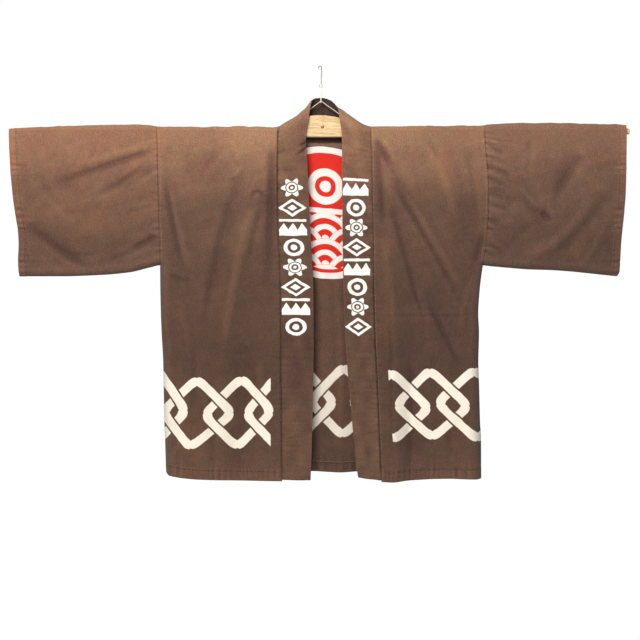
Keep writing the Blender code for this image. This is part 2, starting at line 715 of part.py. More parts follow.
def smooth_route(corners, steps):
    """Points on a Catmull-Rom curve through the corners."""
    ends = [2 * np.array(corners[0]) - np.array(corners[1])]
    tail = [2 * np.array(corners[-1]) - np.array(corners[-2])]
    knots = ends + [np.array(corner, float) for corner in corners] + tail
    route = []
    for a, b, c, d in zip(knots, knots[1:], knots[2:], knots[3:]):
        for k in range(steps):
            t = k / steps
            route.append(0.5 * (2 * b + (c - a) * t + (2 * a - 5 * b + 4 * c - d) * t * t
                                + (3 * b - a - 3 * c + d) * t ** 3))
    route.append(knots[-2])
    return route


CORD_ROUTE = (
    (-CORD_HOLE_X, 0, -117.0), (-CORD_HOLE_X, 0, -109.0), (-44, 0, -104.6), (-30, 0, -95.6),
    (-14, 0, -84.6), (-3.5, 0, -76.6), CORD_APEX[:1] + (0,) + CORD_APEX[1:], (7.5, 0, -76.2),
    (17, 0, -83.2), (32, 0, -93.4), (43.5, 0, -102.6), (CORD_HOLE_X, 0, -108.6),
    (CORD_HOLE_X, 0, -117.0),
)


def make_cord():
    """The cord: two legs from the board, and the loop that hangs them on the hook's eye."""
    make_wire("hanger_cord", smooth_route(CORD_ROUTE, 3), CORD_RADIUS, 2, "cord")
    clear = 2 * CORD_RADIUS + SEAM_GAP
    low = CORD_APEX[1] - clear
    high = EYE_CENTRE[1] - EYE_RADIUS + HOOK_WIRE + SEAM_GAP + CORD_RADIUS
    half = clear / 2 + 1.0
    route = []
    for k in range(9):
        turn = math.pi * k / 8
        route.append((EYE_CENTRE[0], half * math.cos(turn), high - half + half * math.sin(turn)))
    for k in range(9):
        turn = math.pi + math.pi * k / 8
        route.append((CORD_APEX[0], half * math.cos(turn), low + half + half * math.sin(turn)))
    return make_wire("hanger_loop", route, CORD_RADIUS, 2, "cord", closed=True)


def make_hook():
    """A wire with a curl at its top, which bears on a nail, and an eye at its foot."""
    curl = 3.4
    route = [(-curl, 0, HOOK_WIRE - curl - 1.6)]
    for k in range(9):
        turn = math.pi * (1 - k / 8)
        route.append((curl * math.cos(turn), 0, HOOK_WIRE - curl + curl * math.sin(turn)))
    route += [(3.3, 0, -12.0), (2.7, 0, -24.0), (EYE_CENTRE[0] + 0.9, 0, -33.6)]
    for k in range(13):
        turn = math.radians(62 - 300 * k / 12)
        route.append((EYE_CENTRE[0] + EYE_RADIUS * math.cos(turn), 0,
                      EYE_CENTRE[1] + EYE_RADIUS * math.sin(turn)))
    return make_wire("hanger_hook", route, HOOK_WIRE, 2, "steel")


def make_screw():
    """The screw in the middle of the board: a low domed head."""
    x, z = SCREW_PLACE
    face = -BOARD_HALF_THICKNESS - SEAM_GAP
    rings = ((face, 1.0), (face - 0.7, 1.0), (face - 1.3, 0.75), (face - 1.6, 0.35))
    sides = 14
    points = []
    for y, scale in rings:
        for k in range(sides):
            turn = 2 * math.pi * k / sides
            radius = SCREW_RADIUS * scale
            points.append((x + radius * math.cos(turn), y, z + radius * math.sin(turn)))
    faces = [tuple(range(sides)), tuple(reversed(range(3 * sides, 4 * sides)))]
    for ring in range(3):
        for k in range(sides):
            a, b = ring * sides + k, ring * sides + (k + 1) % sides
            faces.append((a, b, b + sides, a + sides))
    return add_object("hanger_screw", points, faces, "steel")


def main():
    for existing in list(bpy.data.objects):
        bpy.data.objects.remove(existing, do_unlink=True)
    make_body()
    for side in (LEFT, RIGHT):
        make_sleeve(side)
    make_collar()
    make_board()
    cylinder("hanger_rod", (ROD_ENDS[0], 0, ROD_HEIGHT), (ROD_ENDS[1], 0, ROD_HEIGHT),
             ROD_RADIUS, 16, "rod_wood")
    make_screw()
    make_cord()
    make_hook()


main()
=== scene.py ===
"""Visual model of a happi coat of brown cotton, hung flat on a wooden rod hanger.

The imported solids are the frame.  The cloth is rebuilt here as thin shells on the same surface
functions as the solids, with its creases, puckered seams, turned hems and stitches.  Surface
sizes are in millimetres until a mesh is made; the frame, the camera and the lights are in
metres.  The coat's front faces -Y and the origin is the point that the wire hook hangs from.
"""
import functools
import math
from collections import namedtuple

import bpy
import bmesh
import numpy as np
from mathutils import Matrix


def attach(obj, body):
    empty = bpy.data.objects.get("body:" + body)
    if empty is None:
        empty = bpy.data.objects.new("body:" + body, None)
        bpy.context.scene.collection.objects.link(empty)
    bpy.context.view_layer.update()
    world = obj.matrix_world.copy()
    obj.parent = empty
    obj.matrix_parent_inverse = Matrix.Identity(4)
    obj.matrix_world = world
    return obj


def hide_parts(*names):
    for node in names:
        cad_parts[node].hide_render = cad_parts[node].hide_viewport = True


MM = 0.001

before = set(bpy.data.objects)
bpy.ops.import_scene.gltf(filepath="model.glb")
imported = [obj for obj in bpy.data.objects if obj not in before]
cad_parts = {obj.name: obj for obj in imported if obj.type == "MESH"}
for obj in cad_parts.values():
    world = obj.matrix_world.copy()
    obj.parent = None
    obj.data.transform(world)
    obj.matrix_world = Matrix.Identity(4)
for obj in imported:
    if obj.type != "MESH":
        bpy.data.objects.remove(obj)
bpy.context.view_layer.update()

# ---- camera, lights and floor --------------------------------------------------------------------
VIEW_WIDTH = 1.336          # metres across the picture at the coat's front
VIEW_HEIGHT = -0.5301       # the camera looks level at this height
CAMERA_DISTANCE = 6.0       # from the coat's front
COAT_FRONT = -0.008
SENSOR = 36.0               # width of the camera's sensor, in millimetres
FLOOR_HEIGHT = -1.62
FLOOR_RADIUS = 1.25
FLOOR_COLOUR = (0.86, 0.85, 0.83, 1.0)
# The surround's colour and strength: as the camera sees it, and as it lights the coat.
WORLD_SEEN = ((1.0, 1.0, 1.0, 1.0), 1.02)
WORLD_GIVEN = ((1.0, 0.985, 0.96, 1.0), 0.30)


def look_at(thing, target):
    """Turns a camera or a lamp to face a point."""
    offset = np.array(target) - np.array(thing.location)
    flat = math.hypot(offset[0], offset[1])
    thing.rotation_euler = (math.atan2(flat, -offset[2]), 0.0, math.atan2(-offset[0], offset[1]))


def put(name, data):
    """Puts data, such as a mesh, in the scene as an object."""
    made = bpy.data.objects.new(name, data)
    bpy.context.scene.collection.objects.link(made)
    return made


def add_camera():
    data = bpy.data.cameras.new("camera")
    data.sensor_width = SENSOR
    data.lens = SENSOR * CAMERA_DISTANCE / VIEW_WIDTH
    camera = put("camera", data)
    camera.location = (0.0, COAT_FRONT - CAMERA_DISTANCE, VIEW_HEIGHT)
    look_at(camera, (0.0, 0.0, VIEW_HEIGHT))
    bpy.context.scene.camera = camera


def add_lamp(name, place, target, size, power, colour):
    data = bpy.data.lights.new(name, "AREA")
    data.shape = "RECTANGLE"
    data.size, data.size_y = size
    data.energy = power
    data.color = colour
    lamp = put(name, data)
    lamp.location = place
    look_at(lamp, target)
    lamp.visible_camera = False


def add_world():
    """A white surround for the camera, and a dimmer, warmer one for the light that it gives."""
    world = bpy.data.worlds.new("surround")
    bpy.context.scene.world = world
    world.use_nodes = True
    nodes, links = world.node_tree.nodes, world.node_tree.links
    nodes.clear()
    output = nodes.new("ShaderNodeOutputWorld")
    path = nodes.new("ShaderNodeLightPath")
    mix = nodes.new("ShaderNodeMixShader")
    links.new(path.outputs["Is Camera Ray"], mix.inputs[0])
    for place, (colour, strength) in enumerate((WORLD_GIVEN, WORLD_SEEN)):
        background = nodes.new("ShaderNodeBackground")
        background.inputs["Color"].default_value = colour
        background.inputs["Strength"].default_value = strength
        links.new(background.outputs[0], mix.inputs[place + 1])
    links.new(mix.outputs[0], output.inputs["Surface"])


def add_surroundings():
    """The surround, three soft lamps and a pale round floor well below the coat."""
    scene = bpy.context.scene
    scene.view_settings.view_transform = "Standard"
    scene.view_settings.look = "None"
    add_world()
    add_lamp("key", (-0.7, -2.45, 1.3), (0.0, 0.0, -0.4), (1.1, 0.35), 86.0, (1.0, 0.97, 0.91))
    add_lamp("front", (0.3, -3.0, -0.2), (0.0, 0.0, -0.5), (2.4, 1.8), 14.0, (1.0, 0.98, 0.96))
    add_lamp("behind", (0.0, 2.4, 1.1), (0.0, 0.0, -0.45), (1.4, 0.9), 42.0, (1.0, 0.985, 0.96))
    disc = bmesh.new()
    bmesh.ops.create_circle(disc, cap_ends=True, radius=FLOOR_RADIUS, segments=96)
    mesh = bpy.data.meshes.new("floor")
    disc.to_mesh(mesh)
    disc.free()
    mesh.materials.append(plain("pale_floor", FLOOR_COLOUR, 0.8))
    floor = put("floor", mesh)
    floor.location = (0.0, 0.0, FLOOR_HEIGHT)


# ---- driving sizes, in millimetres ---------------------------------------------------------------
CLOTH_WALL = 1.8            # one layer of cotton with its turnings
COLLAR_WALL = 2.6           # the folded collar band
SEAM_GAP = 0.3              # clear gap between neighbouring pieces
ROD_RADIUS = 6.5
ROD_HEIGHT = -136.0         # the rod's axis below the hook's bearing point
ROD_ENDS = (-578.0, 647.0)
BACK_MIDDLE = 4.0           # the middle of the back; the coat hangs a little to one side
NECK_POINTS = (-88.3, 106.0)     # where the neckline crosses the top of the shoulder
UNDERARM = -415.0           # height of the point where sleeve, front and back meet
BACK_NECK = -136.5          # height of the neckline behind the neck
NECK_CURVE = 0.6            # share of the way to the middle in which it falls to that height
SHUT_RADIUS = 16.0          # how far from a side seam or a sleeve's lower edge the layers part

Side = namedtuple("Side", "name sign column")
LEFT = Side("left", -1.0, 1)
RIGHT = Side("right", 1.0, 2)
OUTWARD = {"front": -1.0, "back": 1.0}      # each layer's way out of the coat, along y

# ---- outline tables ------------------------------------------------------------------------------
# height, left side edge, right side edge
BODY_SIDES = (
    (-868, -312, 335), (-856, -315, 336), (-846, -320.5, 336), (-780, -323, 335.8),
    (-743, -324.5, 333.8), (-668, -326, 331.8), (-618, -327, 330.2), (-555, -330.3, 331.6),
    (-517, -331.8, 330), (-467, -333, 333), (-415, -333.5, 339.8), (-399, -334, 342.6),
    (-361, -335.5, 347.6), (-324, -337, 350.5), (-290, -337.5, 352), (-258, -338, 351.5),
    (-213, -338.5, 349.5), (-165, -340, 345), (-128, -341, 343.5),
)
# height, left cuff, right cuff
CUFFS = (
    (-438, -627.6, 620), (-430, -628.6, 624.5), (-405, -629.8, 626.3), (-374, -628.6, 628),
    (-345, -630.2, 630.5), (-305, -636.5, 634.8), (-260, -642.3, 638), (-205, -646.8, 639.5),
    (-150, -649.4, 640.2), (-110, -650, 639),
)
# place across, lower edge of the sleeves
SLEEVE_BOTTOM = (
    (-650, -438), (-543, -438), (-459, -435.3), (-397, -429.5), (-355, -419.5), (-333.5, -415),
    (338, -415), (355, -416.8), (396, -420.5), (437, -423.7), (479, -425), (520, -427.8),
    (561, -432), (603, -436.2), (620, -437.4), (650, -438),
)
# place across, top of the fold over the rod (middle of the cloth)
TOP_LINE = (
    (-650, -131), (-640, -130.4), (-626, -129.3), (-576, -126.8), (-476, -123.6), (-390, -122.1),
    (-351, -123.8), (-326, -126.9), (-200, -127.2), (-178, -125.8), (-165, -125.8), (-146, -127.2),
    (98, -127), (121, -125.8), (180, -125.8), (221, -124.6), (240, -125.6), (300, -124.6),
    (330, -125), (351, -122.3), (401, -119.4), (476, -119), (530, -119.8), (576, -121), (610, -121.3),
    (650, -124.5),
)
# place across, hem of the fronts, hem of the backs
HEM = (
    (-320, -851.5, -845), (-312, -855, -845.5), (-282, -859.5, -846), (-250, -862, -846),
    (-165, -865, -847), (-77, -866, -847), (-19, -865, -846.5), (21, -863, -848.5), (42, -862, -849.5),
    (79, -861.5, -847.5), (105, -863, -847), (130, -866.5, -847), (152, -868, -847.5),
    (177, -865.3, -848), (205, -863.5, -848), (241, -861.5, -848), (273, -860.7, -848),
    (326, -862, -846.5), (337, -860, -845.5),
)
# height, left collar seam, right collar seam
COLLAR_SEAMS = (
    (-866, -78.5, 128), (-840, -80, 126.5), (-780, -80.8, 124), (-664, -82, 119.5),
    (-572, -82.3, 114.8), (-467, -83, 112.3), (-388, -85.4, 111.5), (-340, -87.8, 110.5),
    (-280, -88.5, 109), (-210, -89, 108.3), (-136, -88.3, 106), (-110, -88, 105),
)

# ---- depth tables --------------------------------------------------------------------------------
# distance below the rod's axis, front layer forward, back layer backward
LAYERS = (
    (0, 9.0, 9.0), (40, 10.0, 9.6), (100, 12.0, 10.6), (281, 15.0, 12.0), (450, 17.0, 13.0),
    (730, 20.0, 14.0),
)
# place across, how much further the layers stand apart at the rod, beside the hanger's board
NECK_FULLNESS = (
    (-180, 0.0), (-110, 1.8), (-60, 3.2), (70, 3.2), (120, 1.8), (190, 0.0),
)
# place across, front hem forward, back hem backward
HEM_WAVES = (
    (-335, 0, 0), (-312, 2, 1), (-285, 13, 5), (-250, 17, 7), (-212, 7, 1), (-165, -7, -3),
    (-120, -2, 5), (-80, 3, 8), (-45, 5, 2), (30, 0, -4), (79, -8, 3), (129, 20, 7),
    (152, 17, 6), (190, -4, -2), (230, -2, -4), (270, 6, 4), (308, 13, 7), (338, 0, 0),
)

# A fold runs through three points, given by their places across and up. It is a ridge where
# its height is positive and a trough where it is negative, as seen from outside.
Fold = namedtuple("Fold", "x0 z0 x1 z1 x2 z2 height width")
FOLDS = {
    "front": (
        # left sleeve
        (-344, -172, -416, -198, -560, -246, -5.0, 17), (-340, -205, -400, -240, -470, -262, -4.0, 16),
        (-345, -240, -430, -262, -575, -290, 4.0, 26), (-612, -325, -560, -372, -478, -424, -6.5, 24),
        (-600, -270, -500, -330, -400, -352, 4.5, 30), (-340, -350, -362, -372, -400, -384, -4.0, 15),
        # left front
        (-172, -225, -182, -300, -250, -545, -5.0, 19), (-140, -280, -174, -420, -204, -640, 6.5, 24),
        (-86, -150, -103, -280, -112, -470, -5.0, 19), (-320, -220, -306, -340, -290, -470, -3.5, 18),
        (-296, -640, -288, -740, -270, -850, 5.0, 28), (-150, -560, -158, -700, -165, -850, -5.0, 30),
        # right front
        (128, -150, 150, -215, 214, -340, -5.5, 18), (148, -280, 176, -380, 205, -520, -4.0, 18),
        (134, -350, 140, -450, 150, -600, 6.0, 26), (220, -450, 262, -560, 300, -660, -4.5, 20),
        (230, -160, 268, -260, 300, -380, 4.0, 26), (334, -345, 326, -395, 318, -450, -4.0, 18),
        (190, -620, 192, -740, 190, -850, -6.0, 28),
        # right sleeve
        (412, -250, 452, -300, 484, -306, -5.0, 18), (484, -300, 520, -215, 552, -180, -4.5, 20),
        (585, -270, 520, -350, 400, -408, 6.0, 26), (604, -262, 540, -340, 490, -390, -5.0, 20),
        (350, -260, 380, -272, 412, -290, -3.5, 14),
    ),
    "back": (
        (-90, -160, -150, -330, -270, -560, 5.0, 28), (-60, -240, -80, -480, -70, -800, -4.5, 26),
        (-250, -170, -290, -300, -318, -430, -4.0, 22), (-210, -480, -216, -640, -235, -840, -5.0, 28),
        (100, -160, 170, -330, 280, -540, 4.5, 30), (60, -230, 92, -470, 84, -800, -4.5, 26),
        (262, -165, 300, -300, 322, -440, -4.0, 20), (215, -500, 226, -660, 215, -840, -5.5, 30),
        (-350, -215, -440, -250, -570, -300, -4.5, 22), (-600, -250, -540, -350, -420, -405, 5.0, 28),
        (356, -190, 440, -250, 590, -300, -4.5, 24), (590, -290, 510, -370, 390, -400, 4.5, 26),
    ),
}

# ---- collar tables -------------------------------------------------------------------------------
# The front stretches, from the hem up: height of the seam, then the free edge's place across,
# forward distance and height, for the left band and for the right band.
Band = namedtuple("Band", "seam_z left_x left_y left_z right_x right_y right_z")
COLLAR_FRONT = (
    Band(-863, -19.5, -21, -864, 78.7, -9, -859),
    Band(-790, -17, -22, -790, 72.3, -14, -790),
    Band(-697, -14.8, -22, -697, 63, -19, -697),
    Band(-572, -13.2, -21, -572, 53, -21, -572),
    Band(-470, -13.8, -20, -470, 49, -20, -470),
    Band(-384, -18, -19, -384, 47.4, -19, -384),
    Band(-300, -22.3, -18, -300, 46.5, -18, -300),
    Band(-235, -25.2, -17, -233, 46, -17, -232),
    Band(-200, -27, -16.5, -195, 45.8, -16.5, -193),
    Band(-176, -29.6, -16, -162, 45.5, -16, -160),
    Band(-158, -28, -16, -132, 44.4, -16, -134),
    Band(-146, -23.6, -15.5, -108, 41.8, -16, -114),
    Band(-136, -20.8, -14.5, -89, 39.8, -15, -98),
)
# Over the shoulder: angle round the rod, then the free edge's place, from front to back.
Turn = namedtuple("Turn", "angle left_x left_y left_z right_x right_y right_z")
COLLAR_TURN = (
    Turn(30, -19.2, -11.5, -81.5, 39.3, -12, -92.5),
    Turn(60, -17.6, -7.0, -76.2, 39.0, -7.5, -89),
    Turn(90, -16.2, -1.0, -72.2, 38.6, -1.5, -86.4),
    Turn(120, -14.2, 5.0, -69.4, 37.4, 4.5, -83.8),
    Turn(150, -12.2, 10.0, -67.2, 34.8, 9.5, -80.2),
    Turn(180, -9.4, 13.4, -65.8, 30.4, 13.0, -75.6),
)
# Behind the neck, from the left shoulder to the right: share of the seam, then the free edge.
Nape = namedtuple("Nape", "share x y z")
COLLAR_NAPE = (
    Nape(0.20, -4.6, 15.0, -65.0), Nape(0.40, 2.4, 15.6, -64.6), Nape(0.60, 10.2, 15.6, -65.4),
    Nape(0.80, 20.2, 14.8, -69.0),
)
COLLAR_CROWN = 1.2          # how far the band's middle stands proud

# ---- hanger sizes --------------------------------------------------------------------------------
BOARD_TOP = -102.3
BOARD_BOTTOM = -148.0
BOARD_ARC = 150.0           # radius of its arched top
BOARD_SHOULDER = 50.0       # where the arch ends
BOARD_HALF_LENGTH = 62.0
BOARD_END_TOP = -125.0
BOARD_HALF_THICKNESS = 9.0
FOOT_ROUND = 3.0            # rounding of its lower corners
ROUND_OVER = 2.6            # rounding of its edges
CORD_RADIUS = 1.1
CORD_HOLE_X = 48.0          # how far from the middle the cord goes into the board
CORD_APEX = (2.0, -73.0)    # where the loop holds it up
LOOP_STEP = 0.8             # from ring to ring of the loop
HOOK_WIRE = 0.8             # radius of the hook's wire
HOOK_CURL = 3.4             # radius of its curl
EYE_CENTRE = (1.6, -40.6)   # of the eye below it
EYE_RADIUS = 3.2
SCREW_PLACE = (5.2, -126.3)
SCREW_RADIUS = 3.4
ROD_SIDES, TUBE_SIDES, SCREW_SIDES = 48, 14, 32
# The head's domed face: how far each ring stands out and its share of the radius.
SCREW_DOME = ((0.0, 1.0), (-0.5, 1.0), (-1.0, 0.92), (-1.35, 0.74), (-1.6, 0.45), (-1.66, 0.2))

# ---- reading the tables --------------------------------------------------------------------------
def read(rows, column, at):
    """A table's column at the places `at`, on a curve through its rows that never overshoots."""
    order = sorted(rows, key=lambda row: row[0])
    keys = np.array([row[0] for row in order], float)
    values = np.array([row[column] for row in order], float)
    steps = np.diff(values) / np.diff(keys)
    before, after = steps[:-1], steps[1:]
    together = before * after > 0
    inner = np.where(together, 2 * before * after / np.where(together, before + after, 1.0), 0.0)
    slopes = np.concatenate(([steps[0]], inner, [steps[-1]]))
    at = np.clip(np.asarray(at, float), keys[0], keys[-1])
    i = np.clip(np.searchsorted(keys, at, side="right") - 1, 0, len(keys) - 2)
    span = keys[i + 1] - keys[i]
    t = (at - keys[i]) / span
    return (
        values[i] * (1 + 2 * t) * (1 - t) ** 2 + slopes[i] * span * t * (1 - t) ** 2
        + values[i + 1] * t * t * (3 - 2 * t) + slopes[i + 1] * span * t * t * (t - 1)
    )


def ease(value, low, high):
    """0 below low, 1 above high and a smooth step between."""
    t = np.clip((np.asarray(value, float) - low) / (high - low), 0.0, 1.0)
    return t * t * (3 - 2 * t)


def bell(distance, width):
    """1 at no distance, falling away to nothing on both sides within two or three widths."""
    return np.exp(-(distance / width) ** 2)


# ---- the coat's surface --------------------------------------------------------------------------
FOLD_STEPS = 8              # straight steps that a fold's curve is followed in
FOLD_TAPER = (-0.05, 0.3)   # shares of its length over which a fold rises from each end


def fold_height(layer, x, z, rows=FOLDS):
    """How far the folds of a layer lift it outwards at the places x, z."""
    x, z = np.broadcast_arrays(np.asarray(x, float), np.asarray(z, float))
    total = np.zeros(x.shape)
    for fold in (Fold(*row) for row in rows[layer]):
        reach = 3.2 * fold.width + 12
        wide, tall = (fold.x0, fold.x1, fold.x2), (fold.z0, fold.z1, fold.z2)
        near = (x > min(wide) - reach) & (x < max(wide) + reach)
        near &= (z > min(tall) - reach) & (z < max(tall) + reach)
        if near.any():
            total[near] += one_fold(fold, x[near], z[near])
    return total


def one_fold(fold, x, z):
    """One fold's height; its curve is followed in short straight steps."""
    nearest = np.full(x.shape, 1e9)
    along = np.zeros(x.shape)
    shares = [k / FOLD_STEPS for k in range(FOLD_STEPS + 1)]
    for t0, t1 in zip(shares, shares[1:]):
        (ax, az), (bx, bz) = fold_point(fold, t0), fold_point(fold, t1)
        length = (bx - ax) ** 2 + (bz - az) ** 2
        share = np.clip(((x - ax) * (bx - ax) + (z - az) * (bz - az)) / length, 0, 1)
        gap = np.hypot(x - ax - share * (bx - ax), z - az - share * (bz - az))
        closer = gap < nearest
        nearest = np.where(closer, gap, nearest)
        along = np.where(closer, t0 + share * (t1 - t0), along)
    taper = ease(along, *FOLD_TAPER) * ease(1 - along, *FOLD_TAPER)
    return fold.height * taper * bell(nearest, fold.width)


def fold_point(fold, t):
    """A place on the fold's curve, which passes through its middle point half way."""
    mx = 2 * fold.x1 - (fold.x0 + fold.x2) / 2
    mz = 2 * fold.z1 - (fold.z0 + fold.z2) / 2
    a, b, c = (1 - t) ** 2, 2 * t * (1 - t), t * t
    return a * fold.x0 + b * mx + c * fold.x2, a * fold.z0 + b * mz + c * fold.z2


def shut(distance):
    """How far open the layers are, 0 to 1, at a distance from a closed edge."""
    share = np.clip(np.asarray(distance, float) / SHUT_RADIUS, 0, 1)
    return np.sqrt(np.maximum(0.0, 1 - (1 - share) ** 2))


def body_opening(side, x, z):
    """How far open front and back are near the body's side seam."""
    across = side.sign * (read(BODY_SIDES, side.column, z) - x)
    return shut(np.hypot(np.maximum(across, 0), np.maximum(z - UNDERARM, 0)))


def layer_depth(layer, x, z):
    """Distance of a layer from the upright plane through the rod's axis."""
    drop = ROD_HEIGHT - z
    column = 1 if layer == "front" else 2
    base = read(LAYERS, column, drop)
    neck = read(NECK_FULLNESS, 1, x) * (1 - ease(drop, 30, 160))
    wave = read(HEM_WAVES, column, x) * ease(drop, 180, 760) ** 1.3
    folds = fold_height(layer, x, z) * ease(drop, 5, 60)
    return base + neck + wave + folds


# ---- fine form of the cloth ----------------------------------------------------------------------
# Creases follow the folds' rule: three points, a height outwards and a width.
CREASES = {
    "front": (
        # left sleeve
        (-346, -173, -440, -207, -563, -246, -2.2, 7), (-352, -164, -430, -186, -520, -214, 1.3, 8),
        (-355, -198, -420, -244, -486, -280, -1.7, 6), (-344, -228, -365, -240, -390, -254, 1.2, 6),
        (-340, -351, -361, -365, -397, -382, -2.4, 6), (-344, -372, -372, -388, -410, -402, 1.5, 6),
        (-611, -326, -553, -378, -476, -424, -2.8, 11), (-596, -350, -548, -394, -500, -425, 1.6, 8),
        (-445, -405, -415, -395, -386, -384, -1.4, 8), (-528, -392, -495, -393, -459, -392, -0.8, 3),
        (-636, -180, -628, -250, -618, -320, 1.0, 9), (-600, -200, -560, -270, -500, -318, -0.9, 9),
        (-345, -289, -372, -298, -412, -305, -1.2, 5), (-470, -150, -478, -190, -500, -228, -0.7, 6),
        # left front
        (-326, -227, -308, -325, -286, -426, -2.0, 6), (-316, -230, -298, -325, -276, -420, 1.2, 7),
        (-205, -169, -232, -205, -261, -242, -1.5, 9), (-173, -238, -217, -388, -250, -597, -1.8, 9),
        (-146, -280, -131, -262, -114, -280, -3.2, 4.5), (-134, -284, -170, -405, -205, -614, 2.8, 9),
        (-120, -290, -138, -350, -150, -420, -1.4, 6), (-100, -150, -104, -300, -112, -465, -2.4, 9),
        (-292, -780, -303, -806, -313, -833, 1.8, 5), (-268, -560, -262, -640, -270, -742, -1.2, 7),
        (-236, -640, -226, -740, -232, -850, -1.8, 9), (-128, -600, -124, -700, -130, -800, 1.2, 8),
        (-300, -480, -282, -540, -262, -610, 1.0, 9), (-190, -150, -176, -176, -168, -205, 0.9, 6),
        (-320, -432, -296, -444, -262, -452, -1.2, 6),
        # right front
        (114, -144, 132, -180, 150, -217, -2.8, 6), (119, -150, 125, -240, 133, -340, -3.0, 8),
        (128, -144, 146, -176, 168, -206, 1.6, 7), (150, -242, 219, -357, 303, -509, -2.2, 6),
        (166, -246, 232, -352, 300, -470, 1.2, 7), (144, -280, 182, -415, 219, -545, -2.2, 6),
        (219, -482, 261, -566, 292, -628, -1.8, 6), (134, -363, 146, -470, 150, -572, 1.8, 9),
        (143, -380, 147, -600, 150, -856, -1.1, 2.6), (223, -148, 238, -175, 250, -200, -1.4, 7),
        (230, -154, 271, -269, 292, -353, 1.2, 9), (345, -340, 332, -380, 322, -415, -2.2, 8),
        (119, -520, 220, -521, 323, -519, -0.8, 2.6), (188, -600, 190, -720, 184, -850, -1.8, 8),
        (262, -700, 268, -770, 262, -850, -1.2, 8), (318, -440, 300, -500, 292, -570, 1.3, 7),
        (302, -170, 318, -240, 326, -320, -1.2, 7),
        # right sleeve
        (411, -248, 437, -276, 459, -300, 1.8, 5), (459, -305, 472, -314, 484, -321, -2.6, 7),
        (484, -290, 506, -243, 547, -186, -1.5, 10), (496, -296, 522, -250, 560, -200, 1.0, 10),
        (459, -311, 410, -357, 380, -384, -1.4, 9), (574, -273, 490, -365, 407, -405, 1.7, 12),
        (599, -259, 533, -352, 470, -399, -1.5, 12), (612, -300, 570, -380, 540, -430, 1.4, 8),
        (346, -164, 364, -172, 388, -184, -1.6, 5), (346, -199, 368, -212, 396, -226, -1.8, 5),
        (346, -236, 366, -240, 392, -252, -1.9, 4), (346, -284, 370, -294, 398, -298, -1.4, 5),
        (346, -330, 372, -338, 402, -342, -1.5, 5), (346, -366, 366, -380, 388, -396, -1.6, 5),
        (430, -140, 436, -180, 428, -226, -0.9, 7),
    ),
    "back": (
        (-86, -150, -150, -215, -226, -262, -2.0, 8), (-100, -140, -170, -180, -250, -202, 1.4, 8),
        (98, -150, 166, -220, 246, -268, -1.8, 8), (-330, -200, -300, -330, -268, -450, -2.0, 7),
        (336, -190, 302, -320, 276, -470, -2.2, 7), (-60, -300, -84, -500, -80, -720, -1.8, 8),
        (30, -420, 44, -600, 36, -830, -1.5, 8), (96, -300, 120, -480, 112, -700, 1.6, 9),
        (-150, -420, -166, -600, -158, -840, 1.8, 9), (-240, -500, -232, -660, -246, -845, -1.8, 8),
        (200, -470, 214, -640, 206, -845, -2.0, 8), (280, -600, 268, -700, 276, -840, 1.4, 8),
        (-320, -520, -180, -523, -40, -519, -0.7, 2.6), (60, -518, 190, -522, 322, -519, -0.8, 2.6),
        (-344, -180, -430, -226, -540, -262, -2.2, 7), (-352, -214, -420, -258, -482, -300, 1.4, 7),
        (-600, -300, -540, -366, -470, -414, -2.2, 9), (-346, -356, -376, -372, -410, -388, -1.8, 6),
        (350, -172, 430, -206, 540, -236, -2.0, 7), (352, -230, 400, -262, 470, -296, -1.7, 6),
        (590, -290, 520, -372, 440, -418, -2.2, 9), (346, -352, 372, -372, 404, -390, -1.8, 6),
        (346, -290, 376, -300, 410, -304, -1.4, 5), (-346, -300, -380, -306, -420, -312, -1.2, 5),
    ),
}
HEM_BAND = 20.5             # depth of the turned hem of the body
CUFF_BAND = 15.5            # depth of the turned cuffs
SHELL_WALL = 0.9            # one layer of cotton
HEM_WALL = 1.7              # the turned layers of a hem
COLLAR_SHELL = 2.3          # the folded band
SEAM_DIP = 1.1              # how far the cloth draws in at a seam
SEAM_DIP_REACH = 2.6
BODY_REACH = 345.0          # the body's hem lies within this far of the middle
FAR = 1e3                   # stands for no seam near


class Waves:
    """A smooth uneven surface: the sum of waves of random direction about one length."""

    def __init__(self, seed, length, count=28):
        pick = np.random.default_rng(seed)
        turns = pick.uniform(0, 2 * math.pi, count)
        lengths = length * pick.uniform(0.65, 1.6, count)
        self.across = np.cos(turns) * 2 * math.pi / lengths
        self.up = np.sin(turns) * 2 * math.pi / lengths
        self.start = pick.uniform(0, 2 * math.pi, count)
        self.scale = math.sqrt(2.0 / count)

    def at(self, x, z=0.0):
        x, z = np.broadcast_arrays(np.asarray(x, float), np.asarray(z, float))
        total = np.zeros(x.shape)
        for across, up, start in zip(self.across, self.up, self.start):
            total += np.cos(across * x + up * z + start)
        return total * self.scale


BROAD = {"front": Waves(3, 120.0), "back": Waves(4, 130.0)}
MIDDLE = {"front": Waves(5, 46.0), "back": Waves(6, 50.0)}
SMALL = {"front": Waves(7, 17.0), "back": Waves(8, 17.0)}
DRIFT = Waves(9, 70.0, 12)
STRENGTH = Waves(10, 34.0, 12)


def puckers(along, away, spacing, reach, slant=0.0):
    """Small gathers beside a line of stitches, uneven in spacing and depth."""
    phase = 2 * math.pi * (along / spacing + 0.80 * DRIFT.at(along)) + slant * away
    strength = 0.20 + 0.85 * np.abs(STRENGTH.at(along * 1.3 + 40.0))
    length = reach * (0.65 + 0.70 * np.abs(STRENGTH.at(along * 0.8 + 90.0)))
    return strength * np.sin(phase) * np.exp(-np.abs(away) / length)


def seam_distances(x, z):
    """Distances to the armhole seam and to the body's lower closed edges."""
    left, right = (read(BODY_SIDES, side.column, z) for side in (LEFT, RIGHT))
    inward = np.where(x < 0, x - left, right - x)
    return np.where(z > UNDERARM, inward, FAR), np.where(z <= UNDERARM, inward, FAR)


def hem_height(layer, x, z):
    """Height above a layer's hem."""
    return z - read(HEM, 1 if layer == "front" else 2, x)


